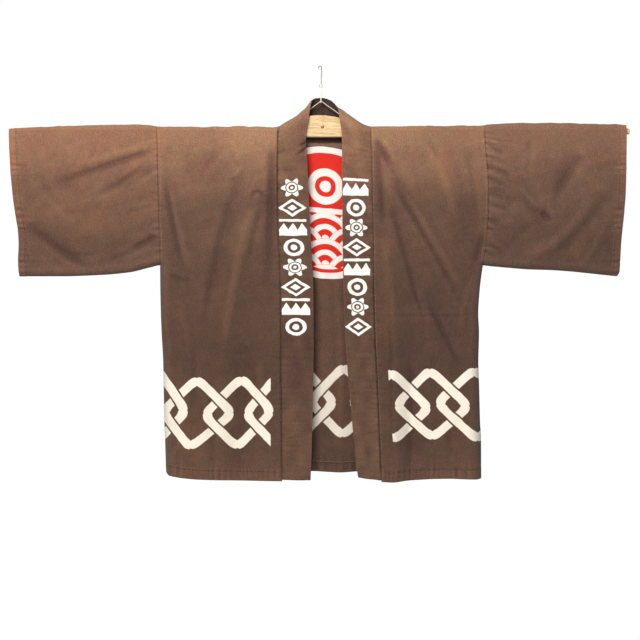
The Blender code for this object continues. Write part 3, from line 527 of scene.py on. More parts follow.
def cuff_distance(x, z):
    """Distance inwards from the nearer cuff."""
    return np.minimum(x - read(CUFFS, 1, z), read(CUFFS, 2, z) - x)


def collar_distance(x, z):
    """Distance outwards from the nearer seam of the collar."""
    return np.where(x < 0, read(COLLAR_SEAMS, 1, z) - x, x - read(COLLAR_SEAMS, 2, z))


def pucker_height(layer, x, z):
    """The small gathers that the sewing draws up beside seams, hems and cuffs."""
    arm, edge = seam_distances(x, z)
    beside, low = np.abs(arm), np.abs(z - read(SLEEVE_BOTTOM, 1, x))
    hem, cuff = hem_height(layer, x, z), cuff_distance(x, z)
    sleeve, gathered = arm < 0, (arm < 0) & (x > 0)
    height = np.where(gathered, 2.5, np.where(sleeve, 1.1, 0.55))
    reach = np.where(gathered, 17.0, 9.0)
    seed = 0.0 if layer == "front" else 300.0
    # height, place along the line and away from it, spacing, reach, slant and where they show
    lines = [
        (height, z + seed, beside, 15.0, reach, 0.10, beside < 90),
        (0.75, z * 1.07 + seed, beside, 7.3, 7.0, 0.0, beside < 50),
        (0.55, z * 1.1 + seed, edge, 10.0, 9.0, -0.06, np.abs(edge) < 60),
        (2.1, x + seed, hem - HEM_BAND * 0.55, 9.5, 12.0, 0.0, (np.abs(x) < BODY_REACH) & (hem < 90)),
        (1.9, z + seed, cuff - CUFF_BAND * 0.55, 9.0, 9.0, 0.0, cuff < 70),
        (0.5, x + seed, low, 11.0, 9.0, 0.05, sleeve),
    ]
    if layer == "front":
        seam = collar_distance(x, z)
        close = (seam > -2) & (seam < 60)
        lines.insert(3, (0.70, z + 90, np.abs(seam), 8.4, 8.5, 0.04, close))
    return sum(line[0] * puckers(*line[1:6]) * line[6] for line in lines)


def detail_height(layer, x, z):
    """Creases, puckers and worn unevenness of one layer, as a height outwards."""
    drop = ROD_HEIGHT - z
    total = 1.25 * fold_height(layer, x, z, CREASES) * ease(drop, 4, 30)
    for height, waves, low, high in ((1.15, BROAD, 10, 90), (0.42, MIDDLE, 4, 50), (0.12, SMALL, -2, 26)):
        total += height * waves[layer].at(x, z) * ease(drop, low, high)
    total += pucker_height(layer, x, z)
    total -= seam_dip(np.abs(seam_distances(x, z)[0]))
    if layer == "front":
        seam = collar_distance(x, z)
        total -= 1.0 * np.exp(-np.abs(seam) / 3.0) * (seam > -2)
    total -= 0.75 * bell(hem_height(layer, x, z) - HEM_BAND, 1.7) * (np.abs(x) < BODY_REACH)
    return total - 0.65 * bell(cuff_distance(x, z) - CUFF_BAND, 1.6)


def seam_dip(away):
    """How far the cloth draws in beside the armhole seam."""
    return SEAM_DIP * np.exp(-away / SEAM_DIP_REACH)


def relief_height(layer, x, z):
    """The folds and creases of a layer, which its painted light on ridges and painted shade in troughs
    follow.
    """
    drop = ROD_HEIGHT - z
    folds = fold_height(layer, x, z) * ease(drop, 5, 60)
    creases = fold_height(layer, x, z, CREASES) * ease(drop, 4, 30)
    return folds + 1.3 * creases + 0.8 * BROAD[layer].at(x, z) + 2.6 * pucker_height(layer, x, z)


def edge_wear_and_shade(layer, x, z):
    """Above 0 where handling has rubbed the cloth pale, and below 0 down in a seam; at the collar seam that
    dark line is partly painted shadow.
    """
    arm, side = seam_distances(x, z)
    hem, cuff = hem_height(layer, x, z), cuff_distance(x, z)
    within, high = np.abs(x) < BODY_REACH, ease(z, -310, -270)
    tone_shift = [
        0.9 * np.exp(-np.abs(arm) / 4.5),
        0.7 * np.exp(-np.abs(side) / 3.0),
        1.2 * bell(hem - HEM_BAND - 2.2, 1.3) * within * (x < 30),
        0.6 * (1 - ease(hem, 0, HEM_BAND + 1)) * within,
        0.95 * (1 - ease(cuff, CUFF_BAND - 3, CUFF_BAND + 1)),
        1.5 * bell(cuff - CUFF_BAND - 0.8, 1.2) * (x > 0),
    ]
    dark = [
        bell(arm, 1.3 + 0.3 * high) * (1.3 + 0.9 * high),
        1.7 * bell(hem - HEM_BAND + 0.6, 1.4) * within,
        1.5 * bell(cuff - CUFF_BAND + 1.8, 1.3),
    ]
    if layer == "front":
        seam = collar_distance(x, z)
        close = seam > -2
        # At the collar seam the dark line is a dark joint with painted shadow of the band's overlap, deeper
        # higher up on the left and lower down on the right.
        depth = np.where(x < 0, 1.3 + 1.2 * ease(z, -400, -200), 2.3 - 1.1 * ease(z, -480, -420))
        tone_shift.append(0.8 * bell(seam - 3.0, 1.8) * close * (x > 0))
        dark.append(depth * bell(seam, 2.2) * close)
    return np.max(tone_shift, axis=0) - np.max(dark, axis=0)


def wall_thickness(layer, x, z):
    """Thickness of the cloth: one layer, or the turned layers of a hem or a cuff."""
    hem = 1 - ease(hem_height(layer, x, z), HEM_BAND - 1.5, HEM_BAND + 1.0)
    cuff = 1 - ease(cuff_distance(x, z), CUFF_BAND - 1.2, CUFF_BAND + 1.0)
    turnings = np.maximum(hem * (np.abs(x) < BODY_REACH), cuff)
    return SHELL_WALL + (HEM_WALL - SHELL_WALL) * turnings


def fine_depth(layer, x, z):
    return layer_depth(layer, x, z) + detail_height(layer, x, z)


# ---- cloth meshes --------------------------------------------------------------------------------
ARM_FINE = 104              # rows from the rod to the underarm
SIDE_FINE = 148             # rows from the underarm to just above the hem
HEM_FINE = 22               # rows in the turned hem
HEM_ZONE = 28.0             # height of those rows together
NECK_FINE = 27              # columns of the back from a neck point to the middle
TURN_FINE = 7               # rows of each half of the fold over the rod
EDGE_DISTANCES = (0.0, 0.5, 1.2, 2.1, 3.2, 4.6, 6.4, 8.8)  # of the columns beside a closed edge
SEAM_DISTANCES = (6.5, 4.6, 3.2, 2.1, 1.2, 0.5, 0.0)       # of the columns beside a seam
COLUMN = 3.1                # width of the columns between
ATLAS_MARGIN = 0.012        # bare margin round each strip of a piece's atlas
RIM_SHARE = 0.35            # share of it that the rim takes
TURN_ANGLES = [90.0 * k / TURN_FINE for k in range(1, 2 * TURN_FINE)]
ROD_WRAP = 14.0             # half the cloth's length over the rod, in the cut
TOP_SHARE = 0.06            # share of the upper back's atlas strip kept for the fold over the rod
SAMPLE_ROW = 40             # the row and the column that give a grid's spacing in the atlas
SAMPLE_COLUMN = 5


def normalized(vectors):
    return vectors / np.maximum(np.linalg.norm(vectors, axis=-1, keepdims=True), 1e-12)


class Cloth:
    """Grids of points on the middle of a cloth, which may share points, and their pieces."""

    def __init__(self):
        self.points, self.outs, self.ins, self.flats = [], [], [], []
        self.reliefs, self.edges = [], []
        self.count = 0
        self.grids = {}

    def add(self, points, outs, ins, flat=None, relief=0.0, edge=0.0):
        """Keeps points, with how far the cloth's two faces lie from them, and gives their numbers.

        flat holds, for each point, the factors that its wall's direction keeps on x, y and z.
        """
        shape = points.shape[:-1]
        size = int(np.prod(shape))
        self.points.append(points.reshape(-1, 3))
        self.outs.append(np.broadcast_to(outs, shape).reshape(-1))
        self.ins.append(np.broadcast_to(ins, shape).reshape(-1))
        keep = np.ones(shape + (3,)) if flat is None else flat
        self.flats.append(keep.reshape(-1, 3))
        self.reliefs.append(np.broadcast_to(relief, shape).reshape(-1))
        self.edges.append(np.broadcast_to(edge, shape).reshape(-1))
        numbers = np.arange(self.count, self.count + size).reshape(shape)
        self.count += size
        return numbers

    def grid(self, piece, ids, flat_uv, along, flip=False):
        """Adds a grid to a piece; flat_uv is its place in the cut, and along its atlas sizes."""
        self.grids.setdefault(piece, []).append((ids, flat_uv, along, flip))

    def settle(self):
        """Works out the two faces of the cloth and their shading normals."""
        points = np.vstack(self.points)
        outs, ins = np.concatenate(self.outs), np.concatenate(self.ins)
        keep = np.vstack(self.flats)
        quads = np.vstack([
            corners_of(ids, flip) for grids in self.grids.values() for ids, _, _, flip in grids])
        direction = vertex_normals(points, quads)
        square = normalized(direction * keep)
        self.outer = points + square * outs[:, None]
        self.inner = points + square * ins[:, None]
        self.outer_normals = vertex_normals(self.outer, quads)
        self.inner_normals = -vertex_normals(self.inner, quads)
        self.bend = roundness(self.outer, quads, self.outer_normals)
        self.relief, self.edge = np.concatenate(self.reliefs), np.concatenate(self.edges)

    def make(self, piece, material):
        """A piece's closed mesh: outer face, inner face and the rim between them."""
        grids = self.grids[piece]
        faces, cloth_uv, bake_uv, normals = [], [], [], []
        for index, (ids, flat_uv, along, flip) in enumerate(grids):
            quads, flat = corners_of(ids, flip), corners_of(flat_uv, flip)
            for side, vectors in enumerate((self.outer_normals, self.inner_normals)):
                spot = corners_of(atlas_place(along, 2 * index + side, 2 * len(grids)), flip)
                faces.append(turned(quads, side) + side * self.count)
                normals.append(vectors[turned(quads, side)])
                cloth_uv.append(turned(flat, side))
                bake_uv.append(turned(spot, side))
        quads, flats, spots = (np.vstack(rows[0::2]) for rows in (faces, cloth_uv, bake_uv))
        starts, ends = quads.reshape(-1), np.roll(quads, -1, axis=1).reshape(-1)
        keys = starts.astype(np.int64) * self.count + ends
        back_keys = ends.astype(np.int64) * self.count + starts
        open_edges = np.nonzero(~np.isin(keys, back_keys))[0]
        a, b = starts[open_edges], ends[open_edges]
        rim_faces = np.stack((b, a, a + self.count, b + self.count), axis=1)
        both = np.vstack((self.outer, self.inner))
        across = both[rim_faces]
        flat_normal = normalized(np.cross(across[:, 2] - across[:, 0], across[:, 3] - across[:, 1]))
        face, corner = open_edges // 4, open_edges % 4
        uv_a, uv_b = (flats[face, place] for place in (corner, (corner + 1) % 4))
        spot_a, spot_b = (spots[face, place] for place in (corner, (corner + 1) % 4))
        run = spot_b - spot_a
        outward = np.stack((run[:, 1], -run[:, 0]), axis=1)
        outward *= np.sign((outward * (spot_a - spots[face].mean(axis=1))).sum(axis=1))[:, None]
        outward = normalized(outward) * ATLAS_MARGIN * RIM_SHARE
        faces.append(rim_faces)
        normals.append(np.repeat(flat_normal[:, None, :], 4, axis=1))
        cloth_uv.append(np.stack((uv_b, uv_a, uv_a, uv_b), axis=1))
        bake_uv.append(np.stack((spot_b, spot_a, spot_a + outward, spot_b + outward), axis=1))
        used, corners = np.unique(np.vstack(faces).reshape(-1), return_inverse=True)
        point, inside = used % self.count, (used >= self.count).astype(np.float32)
        turn = 1.0 - 2.0 * inside
        return add_mesh(
            piece, both[used], corners.reshape(-1, 4), material, np.vstack(normals).reshape(-1, 3),
            (("cloth", np.vstack(cloth_uv).reshape(-1, 2) * MM),
             ("OFBake", np.vstack(bake_uv).reshape(-1, 2))),
            (("inside", inside), ("bend", self.bend[point] * turn),
             ("relief", self.relief[point] * turn), ("edge", self.edge[point])),
        )


def turned(quads, flip):
    """Quads, or values at their corners, turned over if asked."""
    return quads[:, ::-1] if flip else quads


def corners_of(grid, flip):
    """The values of a grid at the corners of each of its quads."""
    corners = (grid[:-1, :-1], grid[1:, :-1], grid[1:, 1:], grid[:-1, 1:])
    values = [corner.reshape((-1,) + grid.shape[2:]) for corner in corners]
    return turned(np.stack(values, axis=1), flip)


def vertex_normals(points, quads):
    a, b, c, d = (points[quads[:, k]] for k in range(4))
    square = np.cross(c - a, d - b)
    total = np.zeros_like(points)
    for k in range(4):
        for axis in range(3):
            total[:, axis] += np.bincount(quads[:, k], square[:, axis], len(points))
    return normalized(total)


def roundness(points, quads, normals):
    """How far each point stands proud of its neighbours, smoothed; positive on ridges."""
    ends = [(quads[:, k], quads[:, (k + 1) % 4]) for k in range(4)]
    starts = np.concatenate([a for a, _ in ends] + [b for _, b in ends])
    stops = np.concatenate([b for _, b in ends] + [a for a, _ in ends])
    count = len(points)
    share = np.maximum(np.bincount(starts, minlength=count), 1)
    middle = np.stack(
        [np.bincount(starts, points[stops, k], count) / share for k in range(3)], axis=1)
    value = ((points - middle) * normals).sum(axis=1)
    for _ in range(6):
        value = 0.4 * value + 0.6 * np.bincount(starts, value[stops], count) / share
    return value


def atlas_place(along, strip, strips):
    """Where one face of a grid lies in the bake atlas: its own upright strip of them all.

    along holds the atlas positions of its columns and rows, from 0 to 1.
    """
    columns, rows = along
    u = strip / strips + ATLAS_MARGIN + (1 / strips - 2 * ATLAS_MARGIN) * columns
    v = ATLAS_MARGIN + (1 - 2 * ATLAS_MARGIN) * rows
    return np.stack(np.broadcast_arrays(u[None, :], v[:, None]), axis=-1)


def add_mesh(name, points, faces, material, normals, layers=(), values=()):
    """A mesh from arrays, in millimetres, with its own corner normals, UV maps and values."""
    mesh = bpy.data.meshes.new(name)
    mesh.vertices.add(len(points))
    mesh.vertices.foreach_set("co", (points * MM).astype(np.float32).reshape(-1))
    size = faces.shape[1]
    mesh.loops.add(faces.size)
    mesh.loops.foreach_set("vertex_index", faces.astype(np.int32).reshape(-1))
    mesh.polygons.add(len(faces))
    mesh.polygons.foreach_set("loop_start", np.arange(0, faces.size, size, dtype=np.int32))
    mesh.update(calc_edges=True)
    mesh.polygons.foreach_set("use_smooth", np.ones(len(faces), bool))
    for layer_name, uv in layers:
        layer = mesh.uv_layers.new(name=layer_name, do_init=False)
        layer.data.foreach_set("uv", uv.astype(np.float32).reshape(-1))
    for value_name, data in values:
        attribute = mesh.attributes.new(value_name, "FLOAT", "POINT")
        attribute.data.foreach_set("value", data.astype(np.float32))
    if normals is not None:
        mesh.normals_split_custom_set(normals)
    mesh.materials.append(material)
    return put(name, mesh)


def lengths(points):
    """Positions along a line of points, from 0 to 1."""
    steps = np.linalg.norm(np.diff(points, axis=0), axis=1)
    return np.concatenate(([0.0], np.cumsum(steps))) / steps.sum()


def faces_offsets(layer, x, z, opening=1.0):
    """How far the cloth's outer and inner faces lie from the surface of the solids' middle."""
    thick = wall_thickness(layer, x, z)
    out = CLOTH_WALL / 2 + 0.35 * (thick - SHELL_WALL)
    return out, (out - thick) * np.where(out > thick, 1.0, opening)


def body_columns(width):
    """Shares of a panel's width: close together beside both of its edges."""
    start, end = EDGE_DISTANCES[-1], width - SEAM_DISTANCES[0]
    parts = round((end - start) / COLUMN)
    middle = [start + (end - start) * k / parts for k in range(1, parts)]
    places = list(EDGE_DISTANCES) + middle + [width - d for d in SEAM_DISTANCES]
    return np.array(places) / width


def row_heights(hem):
    """Heights of the rows for stretches of cloth with their hem at `hem`."""
    arm = np.linspace(0, 1, ARM_FINE + 1)[:, None]
    low = np.linspace(0, 1, SIDE_FINE + 1)[1:, None]
    band = np.linspace(0, 1, HEM_FINE + 1)[1:, None]
    turn = hem + HEM_ZONE
    return np.vstack((
        ROD_HEIGHT + (UNDERARM - ROD_HEIGHT) * arm + 0 * hem,
        UNDERARM + (turn - UNDERARM) * low,
        turn - HEM_ZONE * band + 0 * hem,
    ))


def build_body(material):
    cloth = Cloth()
    middle_ids = None
    for side in (LEFT, RIGHT):
        middle_ids = build_body_half(cloth, side, middle_ids)
    cloth.settle()
    return [cloth.make(piece, material) for piece in sorted(cloth.grids)]


def cut_height(angle):
    """Height in the cut of the cloth over the rod, at an angle round it."""
    return ROD_HEIGHT + ROD_WRAP * (1 - abs(angle - 90) / 90)


def body_panel(side, layer, neck, shares):
    """A panel's places, how far its faces lie from them, and what its wall's direction keeps."""
    half_gap = side.sign * SEAM_GAP / 2
    hem = 1 if layer == "front" else 2
    z = row_heights(read(HEM, hem, np.zeros(shares.shape)))
    # The rows' heights follow the hem, and the columns' places follow the rows: found in turns.
    for _ in range(3):
        outer = read(BODY_SIDES, side.column, z)
        inner = read(COLLAR_SEAMS, side.column, z) + half_gap if layer == "front" else neck
        x = outer + (inner - outer) * shares
        z = row_heights(read(HEM, hem, x[-1:]))
    opening = body_opening(side, x, z)
    y = OUTWARD[layer] * fine_depth(layer, x, z) * opening
    outs, ins = faces_offsets(layer, x, z, opening)
    keep = np.ones(x.shape + (3,))
    keep[:ARM_FINE + 1, 0, 0] = 0.0
    x[:ARM_FINE + 1, 0] -= half_gap
    if layer == "front":
        keep[:, -1, 0] = 0.0
    return x, y, z, outs, ins, keep


def neck_panel(neck, rows):
    """The same for the back's panel from a neck point to the middle."""
    parts = np.arange(1, NECK_FINE + 1) / NECK_FINE
    x = np.broadcast_to(neck * (1 - parts) + BACK_MIDDLE * parts, (rows, NECK_FINE))
    z = row_heights(read(HEM, 2, x[-1:]))
    dip = (BACK_NECK - ROD_HEIGHT) * ease(parts, 0, NECK_CURVE)
    z = z + dip * (1 - ease(ROD_HEIGHT - z, 0, 20))
    keep = np.ones(x.shape + (3,))
    keep[0, :, 2] = 0.0
    return (x, fine_depth("back", x, z), z, *faces_offsets("back", x, z), keep)


def add_layer(cloth, layer, x, y, z, outs, ins, keep):
    """Adds a layer's points, and gives them, their numbers and their places in the cut."""
    points = np.stack((x, y, z), axis=-1)
    ids = cloth.add(points, outs, ins, keep, relief_height(layer, x, z), edge_wear_and_shade(layer, x, z))
    return points, ids, np.stack((x, z), axis=-1)


def build_body_half(cloth, side, middle_ids):
    """One half of the body; the halves share the points down the middle of the back."""
    neck = NECK_POINTS[side.column - 1] + side.sign * SEAM_GAP / 2
    side_top = float(read(BODY_SIDES, side.column, ROD_HEIGHT))
    shares = body_columns(abs(neck - side_top))[None, :]
    columns = shares.shape[1]
    middle, left = columns // 2, side is LEFT

    panel = body_panel(side, "front", neck, shares)
    front, front_ids, front_uv = add_layer(cloth, "front", *panel)
    turn_x = panel[0][0]
    panel = body_panel(side, "back", neck, shares)
    joined = zip(panel, neck_panel(neck, len(panel[0])))
    joined = [np.concatenate(pair, axis=1) for pair in joined]
    back, back_ids, back_uv = add_layer(cloth, "back", *joined)
    back_ids[ARM_FINE:, 0] = front_ids[ARM_FINE:, 0]
    if middle_ids is not None:
        back_ids[:, -1] = middle_ids

    turn = np.stack([fine_turn(turn_x, angle) for angle in TURN_ANGLES])
    keep = np.ones(turn.shape)
    keep[:, 0, 0] = keep[:, -1, 0] = 0.0
    turn_ids = cloth.add(turn, CLOTH_WALL / 2, CLOTH_WALL / 2 - SHELL_WALL, keep)
    turn_heights = np.array([cut_height(angle) for angle in TURN_ANGLES])[:, None]
    turn_uv = np.stack(np.broadcast_arrays(turn_x[None, :], turn_heights), axis=-1)

    top = TURN_FINE - 1
    rows = np.concatenate((turn_ids[top::-1], front_ids))
    flat = np.concatenate((turn_uv[top::-1], front_uv))
    line = np.concatenate((turn[top::-1, middle], front[:, middle]))
    along = (lengths(front[SAMPLE_ROW]), 1 - lengths(line))
    cloth.grid("body_front_" + side.name, rows, flat, along, flip=not left)
    rows = np.concatenate((turn_ids[top:], back_ids[:1, :columns]))
    flat = np.concatenate((turn_uv[top:], back_uv[:1, :columns]))
    line = np.concatenate((turn[top:, middle], back[:1, middle]))
    across = lengths(back[SAMPLE_ROW])
    along = (across[:columns], 1 - TOP_SHARE * 0.8 * lengths(line))
    cloth.grid("body_back_upper", rows, flat, along, flip=left)
    upper, lower = slice(0, ARM_FINE + 1), slice(ARM_FINE, None)
    for piece, rows, share in (("body_back_upper", upper, 1 - TOP_SHARE), ("body_back_lower", lower, 1.0)):
        along = (across, share * (1 - lengths(back[rows, middle])))
        cloth.grid(piece, back_ids[rows], back_uv[rows], along, flip=left)
    return back_ids[:, -1]


def fine_turn(x, angle):
    """A place on the fold over the rod with the cloth's small unevenness."""
    turn = math.radians(angle)
    layer = "front" if angle <= 90 else "back"
    reach = fine_depth(layer, x, ROD_HEIGHT)
    if layer == "back" and angle < 100:
        reach = (reach + fine_depth("front", x, ROD_HEIGHT)) / 2
    lift = read(TOP_LINE, 1, x) - ROD_HEIGHT
    lift = lift + 0.35 * MIDDLE["front"].at(x, 0.0) + 0.15 * SMALL["back"].at(x, 0.0)
    arms = [np.abs(x - read(BODY_SIDES, side.column, ROD_HEIGHT)) for side in (LEFT, RIGHT)]
    lift = lift - seam_dip(np.minimum(*arms))
    y = -reach * math.cos(turn)
    z = ROD_HEIGHT + lift * math.sin(turn)
    return np.stack(np.broadcast_arrays(x, y, z), axis=-1)


# ---- sleeves -------------------------------------------------------------------------------------
SLEEVE_COLUMN = 2.8         # width of its columns
SLEEVE_ROWS = 92            # rows of each layer
CUFF_ZONE = 17.0            # width of the cuff's finer columns together
CUFF_FINE = 14              # how many they are
CUFF_FOOT = -440.0


def build_sleeve(side, material):
    """A sleeve: a tube folded over the rod and closed along its lower edge."""
    cuff_low = float(read(CUFFS, side.column, CUFF_FOOT))
    seam_low = float(read(BODY_SIDES, side.column, UNDERARM))
    width = abs(cuff_low - seam_low)
    start, end = SEAM_DISTANCES[0], width - CUFF_ZONE
    parts = round((end - start) / SLEEVE_COLUMN)
    middle = [start + (end - start) * k / parts for k in range(1, parts + 1)]
    band = [end + CUFF_ZONE * k / CUFF_FINE for k in range(1, CUFF_FINE + 1)]
    shares = np.array([*reversed(SEAM_DISTANCES), *middle, *band])[:, None] / width
    bottom = read(SLEEVE_BOTTOM, 1, seam_low + (cuff_low - seam_low) * shares)
    steps = np.array(EDGE_DISTANCES) / (ROD_HEIGHT - float(bottom.mean()))
    down = np.concatenate((np.linspace(0, 1 - steps[-1], SLEEVE_ROWS), 1 - steps[-2::-1]))[None, :]
    z = ROD_HEIGHT + (bottom - ROD_HEIGHT) * down
    inner = read(BODY_SIDES, side.column, z) + side.sign * SEAM_GAP / 2
    x = inner + (read(CUFFS, side.column, z) - inner) * shares
    opening = shut(z - bottom)

    # Down the front, up the back and over the rod: points, places in the cut, the two faces'
    # distances, relief and wear.
    strips = []
    for layer, rows in (("front", slice(None)), ("back", slice(-2, None, -1))):
        y = OUTWARD[layer] * fine_depth(layer, x, z) * opening
        values = (np.stack((x, y, z), axis=-1), np.stack((x, z), axis=-1),
                  *faces_offsets(layer, x, z, opening),
                  relief_height(layer, x, z), edge_wear_and_shade(layer, x, z))
        strips.append([value[:, rows] for value in values])
    top_x, top_edge = x[:, :1], strips[0][-1][:, :1]
    top_faces = faces_offsets("front", top_x, np.full(top_x.shape, ROD_HEIGHT))
    for angle in reversed(TURN_ANGLES):
        flat = np.stack((top_x, np.full(top_x.shape, cut_height(angle))), axis=-1)
        strips.append([fine_turn(top_x, angle), flat, *top_faces, 0.0 * top_x, top_edge])
    joined = (np.concatenate(values, axis=1) for values in zip(*strips))
    points, flat_uv, outs, ins, relief, edge = joined
    keep = np.ones(points.shape)
    keep[0, :, 0] = 0.0
    cloth = Cloth()
    ids = cloth.add(points, outs, ins, keep, relief, edge)
    ids, flat_uv = (np.concatenate((grid, grid[:, :1]), axis=1) for grid in (ids, flat_uv))
    ring = np.concatenate((points[SAMPLE_ROW], points[SAMPLE_ROW, :1]))
    along = (lengths(points[:, SAMPLE_COLUMN]), 1 - lengths(ring))
    piece = "sleeve_" + side.name + "_cloth"
    cloth.grid(piece, ids.T, flat_uv.transpose(1, 0, 2), along, flip=side is LEFT)
    cloth.settle()
    return cloth.make(piece, material)


# ---- collar --------------------------------------------------------------------------------------
COLLAR_COLUMNS = (0.0, 0.3, 0.8, 1.5, 2.6, 4.2)
COLLAR_EDGE = (4.2, 2.8, 1.8, 1.1, 0.6, 0.25, 0.0)
COLLAR_SPACING = 2.6        # from one inner column to the next
COLLAR_WIDTH = 66.0
TURN_LENGTH = 28.0          # of the band over one shoulder
COLLAR_ROWS = (280, 12, 70)                 # of a front, of a shoulder and of the nape
COLLAR_FOOT = COLLAR_FRONT[0].seam_z
COLLAR_LENGTH = ROD_HEIGHT - COLLAR_FOOT    # of one front
COLLAR_PARTS = (0, 163, 327, 490)           # rows where strips of its atlas begin
COLLAR_SAMPLE = 100         # a row of the left front, which faces forwards
RIGHT_CUT = 1000.0          # the band's right half lies this far across in the cut
# Creases pulled in at the left band's free edge: height there, slant and reach inwards.
PULLS = ((-174, 0.16, 14), (-181, 0.42, 22))
# PULL_SHADE is the painted shade in those creases.
PULL_DEPTH, PULL_SHADE = 3.0, 2.4


def collar_rulings():
    """Seam points, free-edge points and heights in the cut, all along the band."""
    nape_length = float(NECK_POINTS[1] - NECK_POINTS[0])
    shoulder = COLLAR_LENGTH + TURN_LENGTH
    total = 2 * shoulder + nape_length
    rows = [(row.seam_z - COLLAR_FOOT, row) for row in COLLAR_FRONT]
    rows += [(COLLAR_LENGTH + TURN_LENGTH * row.angle / 180, row) for row in COLLAR_TURN]
    knots = [(t, *row[1:4]) for t, row in rows] + [(total - t, *row[4:]) for t, row in rows]
    knots += [(shoulder + nape_length * row.share, *row[1:]) for row in COLLAR_NAPE]
    front, turn, nape = COLLAR_ROWS
    places = [COLLAR_LENGTH * k / front for k in range(front)]
    places += [COLLAR_LENGTH + TURN_LENGTH * k / turn for k in range(turn)]
    middle = [shoulder + nape_length * k / nape for k in range(nape + 1)]
    places = np.array(places + middle + [total - t for t in reversed(places)])
    edges = np.stack([read(knots, k, places) for k in (1, 2, 3)], axis=-1)
    seams, heights = [], []
    for t in places:
        side, s = (LEFT, t) if t < total / 2 else (RIGHT, total - t)
        half_gap = side.sign * SEAM_GAP / 2
        heights.append(COLLAR_FOOT + s)
        if s <= COLLAR_LENGTH:
            z = COLLAR_FOOT + s
            # Near its foot the band reaches up to 1 mm further over the end of the hem.
            half_gap -= side.sign * float(ease(-z, 836, 850))
            x = float(read(COLLAR_SEAMS, side.column, z))
            seams.append((x - half_gap, -float(fine_depth("front", x, z)), z))
        elif s < shoulder:
            neck = np.array(NECK_POINTS[side.column - 1], float)
            seams.append(tuple(fine_turn(neck, 180 * (s - COLLAR_LENGTH) / TURN_LENGTH) - (half_gap, 0, 0)))
        else:
            x = NECK_POINTS[0] + t - shoulder
            near = min(x - NECK_POINTS[0], NECK_POINTS[1] - x) / (NECK_POINTS[1] - BACK_MIDDLE)
            z = ROD_HEIGHT + (BACK_NECK - ROD_HEIGHT) * float(ease(near, 0, NECK_CURVE)) + SEAM_GAP
            seams.append((x, float(fine_depth("back", x, z)), z))
    return np.array(seams), edges, np.array(heights), places, total


def collar_relief(places, across, total):
    """Small buckles of the folded band, as a height outwards."""
    along = places + np.where(places < total / 2, 0.0, 500.0)
    near_neck = bell(np.minimum(places, total - places) - 640, 150)
    soft = 0.7 * MIDDLE["front"].at(across * 1.2, along * 0.8)
    soft = soft + 0.55 * near_neck * MIDDLE["back"].at(across * 0.7 + 60, along * 1.9)
    seam = 0.62 * puckers(along, across, 8.2, 10.0, 0.10)
    free = 0.38 * puckers(along * 1.07, COLLAR_WIDTH - across, 12.0, 12.0, -0.10)
    return soft + seam + free - 0.35 * bell(across - 2.6, 1.1)


def collar_pulls(places, across):
    """The sharp creases that run in from the left band's free edge, from 0 to 1."""
    edge = COLLAR_WIDTH - across
    pulls = 0.0
    for height, slant, reach in PULLS:
        line = places - (height - COLLAR_FOOT) + edge * slant
        pulls = pulls + np.exp(-(line / 2.4) ** 2 - (edge / reach) ** 4)
    return pulls


def collar_wear_and_shade(from_hem, left, heights, across):
    """The band's wear and shade: pale at its free edge, dark in its seam, uneven between; the dark seam is
    partly painted shadow.
    """
    low = 1 - ease(from_hem, np.where(left, 230, 400), np.where(left, 290, 460))
    deep = np.maximum(low, left * ease(heights, -300, -250))
    seam = (1.6 + 0.9 * deep) * bell(across, 1.7 + 0.6 * deep)
    hemmed = 0.7 * bell(from_hem - 12, 3.0) - 1.1 * bell(from_hem, 2.2)
    return 0.8 * np.exp(-(COLLAR_WIDTH - across) / 2.2) + hemmed - seam


